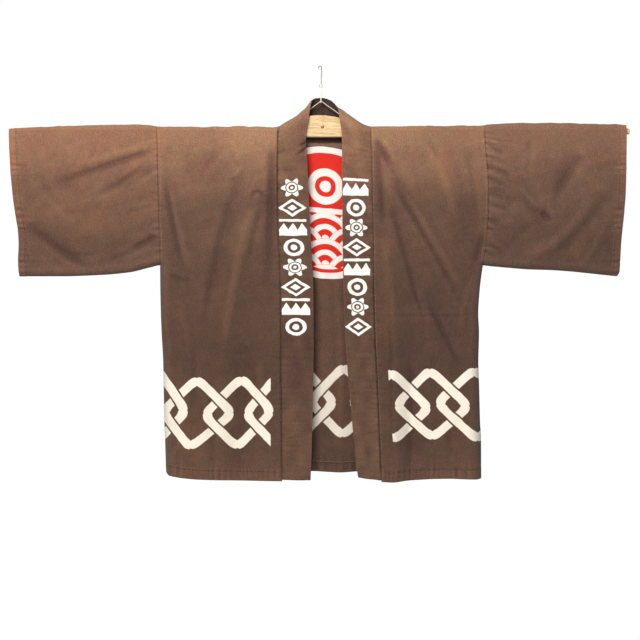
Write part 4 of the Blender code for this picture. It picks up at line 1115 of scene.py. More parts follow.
def build_collar(material):
    """The band: ruled from its seam to its free edge, crowned, buckled and sagging at the neck."""
    seams, edges, heights, places, total = collar_rulings()
    start, end = COLLAR_COLUMNS[-1], COLLAR_WIDTH - COLLAR_EDGE[0]
    parts = round((end - start) / COLLAR_SPACING)
    inner = [start + (end - start) * k / parts for k in range(1, parts)]
    across = np.array([*COLLAR_COLUMNS, *inner, *(COLLAR_WIDTH - d for d in COLLAR_EDGE)])
    run, level, across = places[:, None], heights[:, None], across[None, :]
    from_hem, left, share = np.minimum(run, total - run), run < total / 2, across / COLLAR_WIDTH
    points = seams[:, None, :] * (1 - share[..., None]) + edges[:, None, :] * share[..., None]
    rulings = np.broadcast_to((edges - seams)[:, None, :], points.shape)
    normal = normalized(np.cross(np.gradient(points, axis=0), rulings))
    normal = normal * np.sign(-normal[COLLAR_SAMPLE, SAMPLE_COLUMN, 1])
    turned_out = np.minimum(1.0, np.abs((seams + edges)[:, None, 1] / 2) / 8.0)
    crown = COLLAR_CROWN * turned_out * np.sin(math.pi * share) ** 0.8
    pulls = collar_pulls(run, across)
    relief = collar_relief(run, across, total) - PULL_DEPTH * pulls
    calm = ease(across, -3, 6) * 0.6 + 0.4
    points = points + normal * (crown + relief * calm)[..., None]
    dip = np.where(left, 6.0, 4.2) * bell(from_hem - COLLAR_LENGTH - 12, 30.0)
    points[..., 2] -= dip * np.sin(math.pi * share ** 0.85)
    near = np.abs(points[..., 0] - BACK_MIDDLE)
    sag = 4.0 * bell(near - 33, 8.5) + 1.7 * ease(near, 38, 50) * (1 - ease(near, 84, 100))
    points[..., 2] -= sag * ease(points[..., 2], -134, -112)

    radius = COLLAR_SHELL / 2
    inset = np.clip(np.minimum(across + 0.5, COLLAR_WIDTH - across) / radius, 0, 1)
    closing = radius * np.maximum(np.sqrt(1 - (1 - inset) ** 2), 0.05)
    centre = COLLAR_WALL / 2 - radius
    keep = np.ones(points.shape)
    keep[:, 0, 0] = 0.15
    mottled = 0.17 * MIDDLE["front"].at(across * 0.9 + 40, run * 3.1)
    # The band's tone shift: rubbed free edge, dark seam with painted shadow, mottling, and painted shade in
    # the pulled creases. Its relief is doubled below, so that the painted light and shade on its buckles
    # show more.
    tone_shift = collar_wear_and_shade(from_hem, left, level, across) + mottled - PULL_SHADE * pulls
    cloth = Cloth()
    ids = cloth.add(points, centre + closing, centre - closing, keep, relief * 2.0, tone_shift)
    for first, last in zip(COLLAR_PARTS, COLLAR_PARTS[1:] + (len(places) - 1,)):
        rows = slice(first, last + 1)
        shift = 0.0 if left[first, 0] else RIGHT_CUT
        flat = np.stack(np.broadcast_arrays(across + shift, level[rows]), axis=-1)
        up = (places[rows] - places[first]) / (places[last] - places[first])
        cloth.grid("collar_band", ids[rows], flat, (share[0], up), flip=True)
    cloth.settle()
    return cloth.make("collar_band", material)


# ---- materials -----------------------------------------------------------------------------------
def math_step(operation, swapped=False):
    """A method that adds one node of arithmetic, with its values the other way round if asked."""
    def step(self, *others):
        return self.paint.sum(operation, *((*others, self) if swapped else (self, *others)))
    return step


class Wire:
    """A value inside a material; arithmetic on it adds the nodes that it needs."""

    def __init__(self, paint, socket):
        self.paint, self.socket = paint, socket

    __add__ = __radd__ = math_step("ADD")
    __mul__ = __rmul__ = math_step("MULTIPLY")
    __sub__, __rsub__ = math_step("SUBTRACT"), math_step("SUBTRACT", swapped=True)
    __truediv__ = math_step("DIVIDE")
    __gt__, __lt__ = math_step("GREATER_THAN"), math_step("LESS_THAN")
    size, root, floor = math_step("ABSOLUTE"), math_step("SQRT"), math_step("FLOOR")
    most, least = math_step("MAXIMUM"), math_step("MINIMUM")


class Paint:
    """A material that is built up from procedural nodes."""

    def __init__(self, name):
        self.material = bpy.data.materials.new(name)
        self.material.use_nodes = True
        self.tree = self.material.node_tree
        self.shader = self.tree.nodes["Principled BSDF"]

    def feed(self, value, socket):
        if isinstance(value, Wire):
            self.tree.links.new(value.socket, socket)
        else:
            socket.default_value = value

    def node(self, kind, inputs=(), out=0, **settings):
        """Adds a node, feeds the inputs given by number or name, and gives one output."""
        node = self.tree.nodes.new("ShaderNode" + kind)
        for name, setting in settings.items():
            setattr(node, name, setting)
        for key, value in dict(inputs).items():
            self.feed(value, node.inputs[key])
        return Wire(self, node.outputs[out])

    def sum(self, operation, *values):
        return self.node("Math", enumerate(values), operation=operation)

    def parts(self, place, count):
        """The first parts of a place, in millimetres."""
        split = self.tree.nodes.new("ShaderNodeSeparateXYZ")
        self.feed(place, split.inputs[0])
        return [Wire(self, split.outputs[k]) * 1000.0 for k in range(count)]

    def cloth_place(self):
        """Place in the cut, across and along."""
        return self.parts(self.node("UVMap", uv_map="cloth"), 2)

    def object_place(self):
        return self.parts(self.node("TexCoord", out="Object"), 3)

    def value(self, name):
        """A value that the mesh holds for each point."""
        return self.node("Attribute", out="Fac", attribute_name=name)

    def noise(self, x, y, z=0.0, detail=2.0, roughness=0.5):
        """Smooth noise about one unit across, from -1 to 1."""
        place = self.node("CombineXYZ", enumerate((x, y, z)))
        inputs = {"Vector": place, "Scale": 1.0, "Detail": detail, "Roughness": roughness}
        return self.node("TexNoise", inputs) * 2.0 - 1.0

    def step(self, value, low, high):
        """0 at low and 1 at high, smoothly; low may be the larger."""
        ends = (low, high, 0.0, 1.0) if low < high else (high, low, 1.0, 0.0)
        return self.node("MapRange", enumerate((value, *ends)), interpolation_type="SMOOTHSTEP")

    def band(self, value, outer, inner):
        """1 where a value is within `inner` of 0, and 0 where it is beyond `outer`."""
        return self.step(value.size(), outer, inner)

    def wander(self, x, z, length, seed, detail, reach):
        """How far a line drawn by hand strays, over about `length`."""
        return self.noise(x / length, z / length, seed, detail) * reach

    def pick(self, test, yes, no):
        return test * yes + (1.0 - test) * no

    def mix(self, share, first, second, blend="MIX"):
        """first where share is 0, second where it is 1; both are colours."""
        inputs = {0: share, 6: first, 7: second}
        return self.node("Mix", inputs, out=2, data_type="RGBA", blend_type=blend, clamp_factor=True)

    def scale(self, colour, factor):
        """A colour made lighter or darker."""
        colour = colour if isinstance(colour, Wire) else colour[:3]
        return self.node("VectorMath", {0: colour, "Scale": factor}, operation="SCALE")

    def bump(self, height, strength):
        """Raises the surface by `height` millimetres."""
        inputs = {"Strength": strength, "Distance": MM, "Height": height}
        self.feed(self.node("Bump", inputs), self.shader.inputs["Normal"])

    def finish(self, colour, roughness, sheen=0.0, specular=0.5, metallic=0.0):
        values = {"Base Color": colour, "Roughness": roughness, "Sheen Weight": sheen,
                  "Sheen Roughness": 0.6, "Specular IOR Level": specular, "Metallic": metallic}
        for name, value in values.items():
            self.feed(value, self.shader.inputs[name])
        return self.material


def srgb(red, green, blue):
    """A linear colour from 0-255 display values."""
    found = [value / 255 for value in (red, green, blue)]
    found = [v / 12.92 if v <= 0.04045 else ((v + 0.055) / 1.055) ** 2.4 for v in found]
    return (*found, 1.0)


# Dyed cotton: its colour at heights from the top to the hem, for each kind of piece; lighter towards the
# top, partly from fading and partly as painted light from above.
BODY_SHADES = (
    (-126, srgb(150, 112, 86)), (-150, srgb(145, 108, 84)), (-186, srgb(136, 101, 80)),
    (-300, srgb(101, 75, 61)), (-480, srgb(88, 65, 54)), (-620, srgb(84, 62, 51)),
    (-790, srgb(90, 67, 54)), (-850, srgb(96, 71, 58)),
)
SLEEVE_SHADES = (
    (-124, srgb(150, 109, 86)), (-150, srgb(141, 102, 81)), (-264, srgb(113, 83, 67)),
    (-390, srgb(98, 72, 59)), (-440, srgb(99, 73, 60)),
)
# On the band, the dark stops above -104 are painted shade: the nape stands in shade behind the neck.
BAND_SHADES = (
    (-80, srgb(108, 84, 70)), (-104, srgb(108, 84, 70)), (-122, srgb(140, 106, 84)),
    (-170, srgb(122, 90, 71)), (-300, srgb(96, 71, 58)),
    (-480, srgb(91, 67, 55)), (-640, srgb(93, 69, 56)), (-800, srgb(99, 73, 59)),
)
# On the inner face, the dark stops at the top are painted shadow cast by the board just above.
INSIDE_SHADES = (
    (-136, srgb(64, 48, 40)), (-152, srgb(64, 48, 40)), (-163, srgb(124, 97, 84)),
    (-200, srgb(108, 82, 69)), (-300, srgb(98, 73, 60)), (-640, srgb(95, 70, 58)),
    (-840, srgb(84, 62, 51)),
)
RUST_CAST = (1.22, 0.96, 0.88, 1.0)
OLIVE_CAST = (0.87, 1.04, 0.93, 1.0)
ROSE_CAST = (1.09, 0.93, 1.22, 1.0)
SAND_CAST = (0.97, 1.05, 0.74, 1.0)
SUN_CAST = (1.15, 1.19, 1.14, 1.0)
DARKER_CAST = (0.84, 0.81, 0.86, 1.0)
ROSY_CAST = (1.17, 1.13, 1.16, 1.0)
# Places that light has bleached, and darker places: middle across and up, reach, and cast. The two long
# darker places beside the collar seams are painted shade of the folds there.
TONE_PLACES = (
    (-136.0, -150.0, 84.0, 44.0, SUN_CAST), (166.0, -148.0, 64.0, 36.0, SUN_CAST),
    (-238.0, -214.0, 62.0, 34.0, DARKER_CAST), (-98.0, -285.0, 18.0, 120.0, DARKER_CAST),
    (124.0, -255.0, 22.0, 105.0, DARKER_CAST), (300.0, -320.0, 34.0, 60.0, DARKER_CAST),
)
# The same on the band; the lighter place on the middle of the right band is painted light, as that band
# turns towards the light.
BAND_TONE_PLACES = (
    (20.0, -132.0, 40.0, 40.0, SUN_CAST), (50.0, -184.0, 26.0, 48.0, DARKER_CAST),
    (1048.0, -152.0, 26.0, 46.0, SUN_CAST), (1034.0, -240.0, 60.0, 110.0, ROSY_CAST),
    (34.0, -605.0, 60.0, 105.0, DARKER_CAST),
)
WIRE_SHADES = (
    (1, srgb(96, 92, 78)), (-12, srgb(120, 112, 92)), (-30, srgb(150, 140, 112)),
    (-44, srgb(206, 200, 178)),
)
# The cotton's unevenness: lengths across and along, seed, detail and roughness.
COTTON_NOISES = (
    (95.0, 80.0, 3.0, 2.0, 0.5),        # broad fading
    (22.0, 25.0, 5.0, 3.0, 0.6),        # blotches
    (1.6, 15.0, 7.0, 2.0, 0.5),         # yarns of the warp
    (10.0, 1.5, 8.0, 2.0, 0.5),         # yarns of the weft
    (2.5, 2.5, 9.0, 3.0, 0.8),          # specks
    (40.0, 34.0, 13.0, 4.0, 0.6),       # rusty and olive places
    (13.0, 13.0, 17.0, 4.0, 0.65),      # rosy and sandy places
)
WARP, WEFT = 0.62, 0.66     # from yarn to yarn
FADE_AND_LIGHT_WANDER = 24.0          # how far up and down the fading and the painted light from above stray
MOST_RELIEF = 8.0           # relief beyond which a fold's painted light and shade grow no more
CREAM = srgb(246, 237, 224)
WHITE = srgb(252, 250, 246)
RED = srgb(232, 36, 24)
THREAD = srgb(168, 132, 108)

# ---- dyed patterns -------------------------------------------------------------------------------
STRAND = 8.8                # half the width of a link's strand
STRAND_GAP = 3.6            # bare line beside an over-strand
TOP_FLAT = 6.5              # half the length of a link's flat top
LINK_ROUND = 12.0           # reach of the rounding of a link's corners
TIP_FLAT = 6.0              # half the height of its upright tips
NICK_REACH, NICK_DEPTH = 4.0, 1.5           # where a strand is thinner, at its top and bottom
TIP_REACH, TIP_DEPTH = 3.6, 1.2             # and at its left and right tips
# The middle line of a six-sided link: its top and bottom, then its left and right tips.
Link = namedtuple("Link", "top top_z bottom bottom_z left left_z right right_z")
FRONT_LEFT_LINKS = (
    Link(-341, -638, -352, -790, -413, -716, -283, -719),
    Link(-256, -658, -268.5, -790, -323, -722, -189, -724),
    Link(-164, -656.5, -173, -790, -235.5, -728, -105.5, -720),
    Link(-92, -657, -88, -790, -150, -726, -17, -722),
)
FRONT_RIGHT_LINKS = (
    Link(148, -643, 152, -776, 71, -712, 221.5, -714),
    Link(229, -639.5, 234.5, -771, 164, -707.5, 303, -709.5),
    Link(321.5, -638, 327.5, -774.5, 250.5, -703, 392, -707.5),
)
BACK_MIDDLE_LINK = Link(50, -633, 47, -767.5, -16, -701, 112, -703)
BACK_PITCH = 87.7
# The fronts' print stops short of the collar: places across at the chain's top and foot.
PRINT_ENDS = {"front_left": (-102.9, -102.9), "front_right": (142.3, 151.0)}
PRINT_TOP, PRINT_FOOT = -645.0, -776.0
# The left front's last link pokes past that line at its tip: height, half height and reach.
PRINT_TIP = (-721.0, 18.0, 6.0)
# The back's emblem: a roundel that leans a little.
EMBLEM_CENTRE = (11.5, -305.4)
EMBLEM_RADIUS = 138.8
EMBLEM_SLANT = 0.085
RING_RADIUS = EMBLEM_RADIUS - 6.8
MOON_HEIGHT = 55.0          # of the moon's middle above the emblem's
MOON_RADIUS = 30.0          # of the middle of its ring
WAVE_RADIUS = 54.0          # half the way to the next wave; within it the row behind is hidden
WAVE_ARCS = (48.0, 25.0)    # radii of the arcs drawn in a wave
SEA_LINE = 4.0              # height of the line above the waves
# The emblem's soft edges: where each shape has faded out, and where it is full.
DISC_EDGE = (EMBLEM_RADIUS - 3.0, EMBLEM_RADIUS - 5.0)
FIELD_EDGE = (EMBLEM_RADIUS - 20.0, EMBLEM_RADIUS - 21.5)
RING_EDGE, MOON_EDGE, HEART_EDGE = (7.4, 5.8), (8.6, 7.2), (12.6, 11.2)
ARC_EDGE, DROP_EDGE = (6.2, 4.8), (8.4, 7.0)
SEA_EDGE, SEA_LINE_EDGE = (1.0, -0.6), (6.0, 4.6)


def back_links():
    """The chain right across the back, drawn by hand and so a little uneven."""
    pick = np.random.default_rng(21)
    links = []
    for k in range(-4, 4):
        shift = [BACK_PITCH * k if n % 2 == 0 else 0.0 for n in range(8)]
        uneven = pick.uniform(-3.0, 3.0, 8) if k not in (0, -1) else np.zeros(8)
        links.append(Link(*(a + b + c for a, b, c in zip(BACK_MIDDLE_LINK, shift, uneven))))
    return links


def link_distance(paint, x, z, link):
    """Distance from a link's middle line and half the width of its strand at a place."""
    corners = (
        (link.top - TOP_FLAT, link.top_z), (link.top + TOP_FLAT, link.top_z),
        (link.right, link.right_z + TIP_FLAT), (link.right, link.right_z - TIP_FLAT),
        (link.bottom + TOP_FLAT, link.bottom_z), (link.bottom - TOP_FLAT, link.bottom_z),
        (link.left, link.left_z - TIP_FLAT), (link.left, link.left_z + TIP_FLAT),
    )
    furthest = None
    for (ax, az), (bx, bz) in zip(corners, corners[1:] + corners[:1]):
        length = math.hypot(bx - ax, bz - az)
        out_x, out_z = -(bz - az) / length, (bx - ax) / length
        part = paint.sum("MULTIPLY_ADD", x, out_x, -(ax * out_x + az * out_z))
        part = paint.sum("MULTIPLY_ADD", z, out_z, part)
        furthest = part if furthest is None else paint.sum("SMOOTH_MAX", furthest, part, LINK_ROUND)
    crest = paint.pick(z > (link.top_z + link.bottom_z) / 2, link.top, link.bottom)
    nick = paint.band(x - crest, NICK_REACH, 0.0)
    tips = paint.band(z - (link.left_z + link.right_z) / 2, TIP_REACH, 0.0)
    return furthest.size(), STRAND - nick * NICK_DEPTH - tips * TIP_DEPTH


def paint_chain(paint, x, z, links, crossing, soft):
    """Coverage of a band of interlocked six-sided links, each over and under the next."""
    x = x + paint.wander(x, z, length=22.0, seed=7.0, detail=2.0, reach=1.5)
    z = z + paint.wander(x, z, length=22.0, seed=47.0, detail=2.0, reach=1.5)
    strands = []
    for link in links:
        gap, half = link_distance(paint, x, z, link)
        right_half = x - (link.left + link.right) / 2
        upper_half = z - (link.left_z + link.right_z) / 2
        strands.append((gap, half, (right_half * upper_half * crossing) > 0.0))
    covers = []
    for k, (gap, half, over) in enumerate(strands):
        shown = paint.step(gap - half, soft, -soft)
        for other, other_half, other_over in strands[max(0, k - 1):k] + strands[k + 1:k + 2]:
            hidden = paint.step(other - other_half, STRAND_GAP + soft, STRAND_GAP - soft)
            shown = shown * (1.0 - hidden * other_over * (1.0 - over))
        covers.append(shown)
    return most_of(covers)


def most_of(values):
    """The greatest of several values."""
    return functools.reduce(Wire.most, values)


def print_end(paint, x, z, where):
    """Where a front's print stops, along its own nearly upright line."""
    top, foot = PRINT_ENDS[where]
    line = top + (foot - top) * (PRINT_TOP - z) / (PRINT_TOP - PRINT_FOOT)
    past = x - line + paint.noise(z / 9.0, 3.0, 1.0, 1.0) * 0.8
    if where == "front_left":
        height, half, reach = PRINT_TIP
        past = past - paint.step((z - height).size(), half, half - 4.0) * reach
    inner = -0.8 if where == "front_right" else 0.8
    return paint.step(past, inner, -inner)


def paint_emblem(paint, x, z):
    """A red roundel with a white ring, a white moon and white waves: its red and its white."""
    dx = x - EMBLEM_CENTRE[0] + paint.wander(x, z, length=30.0, seed=9.0, detail=1.0, reach=1.4)
    dz = z - EMBLEM_CENTRE[1] + dx * EMBLEM_SLANT
    dz = dz + paint.wander(x, z, length=30.0, seed=19.0, detail=1.0, reach=1.4)
    far = (dx * dx + dz * dz).root()
    disc, field = paint.step(far, *DISC_EDGE), paint.step(far, *FIELD_EDGE)
    ring = paint.band(far - RING_RADIUS, *RING_EDGE)
    moon_far = (dx * dx + (dz - MOON_HEIGHT) * (dz - MOON_HEIGHT)).root()
    moon = paint.band(moon_far - MOON_RADIUS, *MOON_EDGE).most(paint.step(moon_far, *HEART_EDGE))
    # Waves overlap like scales: each place shows the nearer row's if that reaches it.
    rise = WAVE_RADIUS / 2
    row = (dz / rise).floor()
    nearest = []
    for level in (row - 1.0, row):
        odd = (level / 2.0 - (level / 2.0).floor()) * 2.0
        shift = dx - odd * WAVE_RADIUS
        side = shift - (shift / (2 * WAVE_RADIUS) + 0.5).floor() * 2 * WAVE_RADIUS
        up = dz - level * rise
        nearest.append((side * side + up * up).root())
    reach = paint.pick(nearest[0] < WAVE_RADIUS, *nearest)
    arcs = [paint.band(reach - radius, *ARC_EDGE) for radius in WAVE_ARCS]
    waves = most_of([*arcs, paint.step(reach, *DROP_EDGE)]) * paint.step(dz, *SEA_EDGE) * field
    line = paint.band(dz - SEA_LINE, *SEA_LINE_EDGE) * field
    return disc, most_of([ring, moon * field, waves, line])


COLLAR_PITCH = 41.4         # from one motif of the band to the next
COLLAR_FIRST = -254.6       # height of the first one's middle
COLLAR_MOTIFS = 8
MOTIF_INSET = 2.0           # from the band's middle to theirs, towards the seam
RIGHT_SHIFT = 5.0           # how much further from the seam they lie on the right
MOTIF_WIDE, MOTIF_TALL = 1.27, 1.09         # how much larger they are printed than drawn
PETALS, PETAL_DEPTH = 6.0, 3.6
FLOWER_LINE = 10.2          # radius of the line through its petals
DIAMOND_SLANT, DIAMOND_LINE = 0.74, 14.6
DOT_RING = 13.6
TRIANGLE_PITCH, TRIANGLE_SLANT = 15.0, 1.7
BAR_HEIGHT = 14.0


def paint_collar_marks(paint, u, z):
    """White motifs down both fronts of the band: flower, diamond, triangles and ringed dot."""
    right = u > RIGHT_CUT / 2
    across = u + MOTIF_INSET - right * (RIGHT_CUT + RIGHT_SHIFT) - COLLAR_WIDTH / 2
    across = across + paint.wander(u, z, length=15.0, seed=5.0, detail=2.0, reach=1.7)
    index = ((COLLAR_FIRST - z) / COLLAR_PITCH + 0.5).floor()
    up = z - COLLAR_FIRST + index * COLLAR_PITCH
    up = up + paint.wander(u, z, length=15.0, seed=15.0, detail=2.0, reach=1.7)
    across, up = across * (1.0 - right * 2.0) / MOTIF_WIDE, up / MOTIF_TALL
    wide, tall = across.size(), up.size()
    far = (across * across + up * up).root()
    # The last two values of each step or band are where it has faded out and where it is full.
    petals = paint.sum("COSINE", paint.sum("ARCTAN2", up, across) * PETALS)
    flower = paint.step(far - petals * PETAL_DEPTH, 15.8, 14.4) * paint.step(far, 5.0, 6.4)
    flower = flower.most(paint.step(far, 3.2, 2.0))
    flower = flower * (1.0 - paint.band(far - FLOWER_LINE, 1.4, 0.5))
    slanted = wide * DIAMOND_SLANT + tall
    diamond = paint.band(slanted - DIAMOND_LINE, 3.4, 2.2).most(paint.step(slanted, 6.6, 5.4))
    ringed = paint.band(far - DOT_RING, 3.6, 2.4).most(paint.step(far, 6.0, 4.6))
    third = across - (across / TRIANGLE_PITCH + 0.5).floor() * TRIANGLE_PITCH
    slope = third.size() * TRIANGLE_SLANT + up
    triangles = paint.step(slope, 9.0, 7.6) * paint.step(up, -16.0, -14.6)
    bar = paint.band(up - BAR_HEIGHT, 2.9, 1.7) * paint.step(wide, 22.6, 21.4)
    triangles = (triangles * paint.step(wide, 22.6, 21.6)).most(bar)
    kind = index + right * 2.0
    kind = kind - (kind / 4.0).floor() * 4.0
    motifs = (flower, diamond, triangles, ringed)
    shown = most_of([motif * ((kind - float(k)).size() < 0.5) for k, motif in enumerate(motifs)])
    last = COLLAR_FIRST - COLLAR_PITCH * (COLLAR_MOTIFS - 0.5)
    return shown * (z < COLLAR_FIRST + COLLAR_PITCH / 2) * (z > last)


def shade_ramp(paint, level, shades):
    """The colour for a height, between the shades given for the heights around it."""
    node = paint.tree.nodes.new("ShaderNodeValToRGB")
    low, high = shades[-1][0], shades[0][0]
    paint.feed((level - low) / (high - low), node.inputs[0])
    stops = node.color_ramp.elements
    node.color_ramp.interpolation = "EASE"
    for height, colour in shades[1:-1]:
        stops.new((height - low) / (high - low)).color = colour
    stops[0].color, stops[-1].color = shades[-1][1], shades[0][1]
    return Wire(paint, node.outputs[0])


def tinted(shades, *factors):
    """The same shades with red, green and blue scaled."""
    return [(height, (*(c * f for c, f in zip(colour, factors)), 1.0)) for height, colour in shades]


def cotton(name, shades, pattern=None, seed=0.0, tone_places=()):
    """Brown cotton: paler where light has bleached it, rubbed on its ridges, with uneven yarns, and with
    painted light and shade on its folds.
    """
    paint = Paint(name)
    x, z = paint.cloth_place()
    inside, bend = paint.value("inside"), paint.value("bend")
    relief, edge = paint.value("relief"), paint.value("edge")
    wander = paint.noise(x / 75.0, z / 60.0, seed, 2.0) * FADE_AND_LIGHT_WANDER
    # The ramp of shades: lighter towards the top, partly fading and partly painted light from above.
    colour = shade_ramp(paint, z + wander, shades)
    # Lighter and darker places from the table; some of them are painted light and painted shade.
    for middle_x, middle_z, reach_x, reach_z, cast in tone_places:
        across = (x - middle_x + wander * (reach_x / 60.0)) / reach_x
        up = (z - middle_z + wander * (reach_z / 60.0)) / reach_z
        share = paint.step(across * across + up * up, 1.3, 0.1)
        colour = paint.mix(share, colour, cast, "MULTIPLY")
    # The inner face takes its own ramp, which holds the painted shadow below the board.
    colour = paint.mix(inside, colour, shade_ramp(paint, z, INSIDE_SHADES))
    broad, blotch, warp, weft, speck, warm, rosy = (
        paint.noise(x / wide, z / tall, seed + own, detail, roughness)
        for wide, tall, own, detail, roughness in COTTON_NOISES)
    ridge = relief.most(0.0).least(MOST_RELIEF)
    trough = relief.least(0.0).most(-MOST_RELIEF)
    pale = edge.most(0.0)
    tone_shift = (bend * 9.0).least(1.0).most(-1.0)
    # Lighter and darker places: unevenness; painted light on ridges and painted shade in troughs; rubbed
    # edges and dark seams, with painted shadow at the collar seam; and roundness.
    tone = 1.0 + broad * 0.08 + blotch * 0.09 + warp * 0.30 + weft * 0.22 + speck * 0.84
    tone = tone + ridge * 0.010 + trough * 0.020 + pale * 0.13 + edge.least(0.0).most(-2.5) * 0.26
    # Roundness: lighter on ridges as wear, darker in hollows as painted shade.
    tone = tone * (1.0 + tone_shift.most(0.0) * 0.20 + tone_shift.least(0.0) * 0.20)
    # Painted shade along the top line of the outer face, over the fold on the rod.
    tone = tone * (1.0 - paint.step(z, -143.0, -133.0) * (1.0 - inside) * 0.16)
    # Redder and rosier places, and their opposites; ridges turn redder and troughs rosier with their painted
    # light and shade.
    reddish = warm * 0.9 + ridge * 0.04 + pale * 0.3
    rosy = rosy - trough * 0.05 - ridge * 0.03
    for share, cast, other_cast in ((reddish, RUST_CAST, OLIVE_CAST), (rosy, ROSE_CAST, SAND_CAST)):
        colour = paint.mix(share.most(0.0), colour, cast, "MULTIPLY")
        colour = paint.mix((share * -1.0).most(0.0), colour, other_cast, "MULTIPLY")
    colour = paint.scale(colour, tone)
    # Dyes are thinner on the inner face and in the yarns' gaps.
    for dye, cover, strength in pattern(paint, x, z, inside) if pattern else ():
        dye = paint.scale(dye, 1.0 + speck * 0.16 + warp * 0.05)
        colour = paint.mix(cover * (strength * (1.0 - inside * 0.10)), colour, dye)
    weave = [paint.sum("SINE", place * (2 * math.pi / pitch)) for place, pitch in ((x, WARP), (z, WEFT))]
    height = weave[0] * weave[1] * 0.05 + warp * 0.05 + weft * 0.04 + speck * 0.06
    height = height + paint.noise(x / 9.0, z / 7.0, seed + 11.0, 2.0) * 0.22
    paint.bump(height, 0.8)
    return paint.finish(colour, 0.92, sheen=0.12, specular=0.18)


def chain_pattern(where):
    """The chain on one front, as a dye with its cover and strength."""
    links = FRONT_LEFT_LINKS if where == "front_left" else FRONT_RIGHT_LINKS

    def dyes(paint, x, z, inside):
        cover = paint_chain(paint, x, z, links, 1.0, 0.6) * print_end(paint, x, z, where)
        return [(CREAM, cover, 0.97)]
    return dyes


def back_pattern(paint, x, z, inside):
    cover = paint_chain(paint, x, z, back_links(), -1.0, 0.9)
    disc, white = paint_emblem(paint, x, z)
    return [(CREAM, cover, 0.95), (RED, disc, 0.97), (WHITE, white, 0.97)]


def collar_pattern(paint, x, z, inside):
    return [(WHITE, paint_collar_marks(paint, x, z) * (1.0 - inside), 0.97)]


def wood(name, light, dark, grain, roughness):
    """Planed wood: its grain lines run along x and wander."""
    paint = Paint(name)
    x, y, z = paint.object_place()
    drift = paint.noise(x / 60.0, y / 30.0, z / 16.0, 2.0)
    level = (z + x * 0.12) / grain
    lines = paint.noise(x / 70.0 + drift * 0.5, y / grain + drift, level + drift * 1.8, 4.0, 0.7)
    pores = paint.noise(x / 16.0, y / 0.9, (z + x * 0.12) / 1.1, 3.0, 0.7)
    share = paint.step(lines + pores * 0.9, -0.5, 0.75)
    paint.bump(pores * 0.08 - share * 0.05, 0.6)
    return paint.finish(paint.mix(share, light, dark), roughness, specular=0.35)


def wire(name):
    """Old iron wire: dull and dark above, rubbed bright at its eye."""
    paint = Paint(name)
    height = paint.object_place()[2]
    tone = 1.0 + paint.noise(height / 3.0, 1.0, 2.0, 2.0) * 0.5
    colour = shade_ramp(paint, height, WIRE_SHADES)
    return paint.finish(paint.scale(colour, tone), 0.45, specular=0.5, metallic=0.3)


def plain(name, colour, roughness, metallic=0.0, specular=0.5):
    paint = Paint(name)
    return paint.finish(colour, roughness, specular=specular, metallic=metallic)


# ---- stitches ------------------------------------------------------------------------------------
STITCH = 3.4                # from one stitch to the next
STITCH_LENGTH = 2.3
# A stitch's foot and top: height, share of its length, and half width.
STITCH_LEVELS = ((-0.25, 1.0, 0.30), (0.20, 0.72, 0.17))
HEM_END = 14.0              # how far from the side seams the hem's stitches end
ARM_INSET = 5.0             # how far inside the armhole seam its stitches run
SEAM_INSET = 2.6            # how far beside the collar seam its stitches run
HEM_LEVEL = -845.0          # where the hem's rows meet the side and collar seams
SLOPE_STEP = 0.6            # over which the slope of the cloth is taken


def skin_place(layer, x, z, lift):
    """A place on a layer's outer face, raised by `lift`, and the direction out of the cloth."""
    step = SLOPE_STEP
    depth = fine_depth(layer, x, z)
    slope_x = (fine_depth(layer, x + step, z) - fine_depth(layer, x - step, z)) / (2 * step)
    slope_z = (fine_depth(layer, x, z + step) - fine_depth(layer, x, z - step)) / (2 * step)
    out = normalized(np.stack((-slope_x, np.full(x.shape, OUTWARD[layer]), -slope_z), axis=-1))
    place = np.stack((x, OUTWARD[layer] * depth, z), axis=-1)
    return place + out * lift, out


def stitch_line(layer, x, z, lift, facing=1.0):
    """Centres, directions and outward directions of stitches along a line on a layer."""
    run = np.concatenate(([0.0], np.cumsum(np.hypot(np.diff(x), np.diff(z)))))
    pick = np.random.default_rng(int(abs(run[-1] * 7 + x[0])))
    at = np.arange(STITCH / 2, run[-1] - STITCH / 2, STITCH)
    at = at + pick.uniform(-0.3, 0.3, len(at))
    x_at, z_at = np.interp(at, run, x), np.interp(at, run, z)
    z_at = z_at + 0.35 * SMALL["front"].at(x_at + z_at, 7.0)
    place, out = skin_place(layer, x_at, z_at, lift)
    along = normalized(np.gradient(place, axis=0))
    return place, along, out * facing


def build_stitches(name, lines, material):
    """Every stitch as a small block, narrower at its outer face than at its foot."""
    shape = np.array(((3, 2, 1, 0), (4, 5, 6, 7), (0, 1, 5, 4), (1, 2, 6, 5), (2, 3, 7, 6), (3, 0, 4, 7)))
    half = STITCH_LENGTH / 2
    points, faces, count = [], [], 0
    for place, along, out in lines:
        side = normalized(np.cross(out, along))
        corners = [
            place + along * (half * end) * a + side * wide * b + out * level
            for level, end, wide in STITCH_LEVELS for a, b in ((-1, -1), (1, -1), (1, 1), (-1, 1))
        ]
        points.append(np.stack(corners, axis=1).reshape(-1, 3))
        numbers = count + 8 * np.arange(len(place))[:, None, None] + shape[None]
        faces.append(numbers.reshape(-1, 4))
        count += 8 * len(place)
    made = add_mesh(name, np.vstack(points), np.vstack(faces), material, None)
    made.data.set_sharp_from_angle(angle=math.radians(60))
    return made


def hem_line(layer, low, high):
    x = np.linspace(low, high, 240)
    return x, read(HEM, 1 if layer == "front" else 2, x) + HEM_BAND


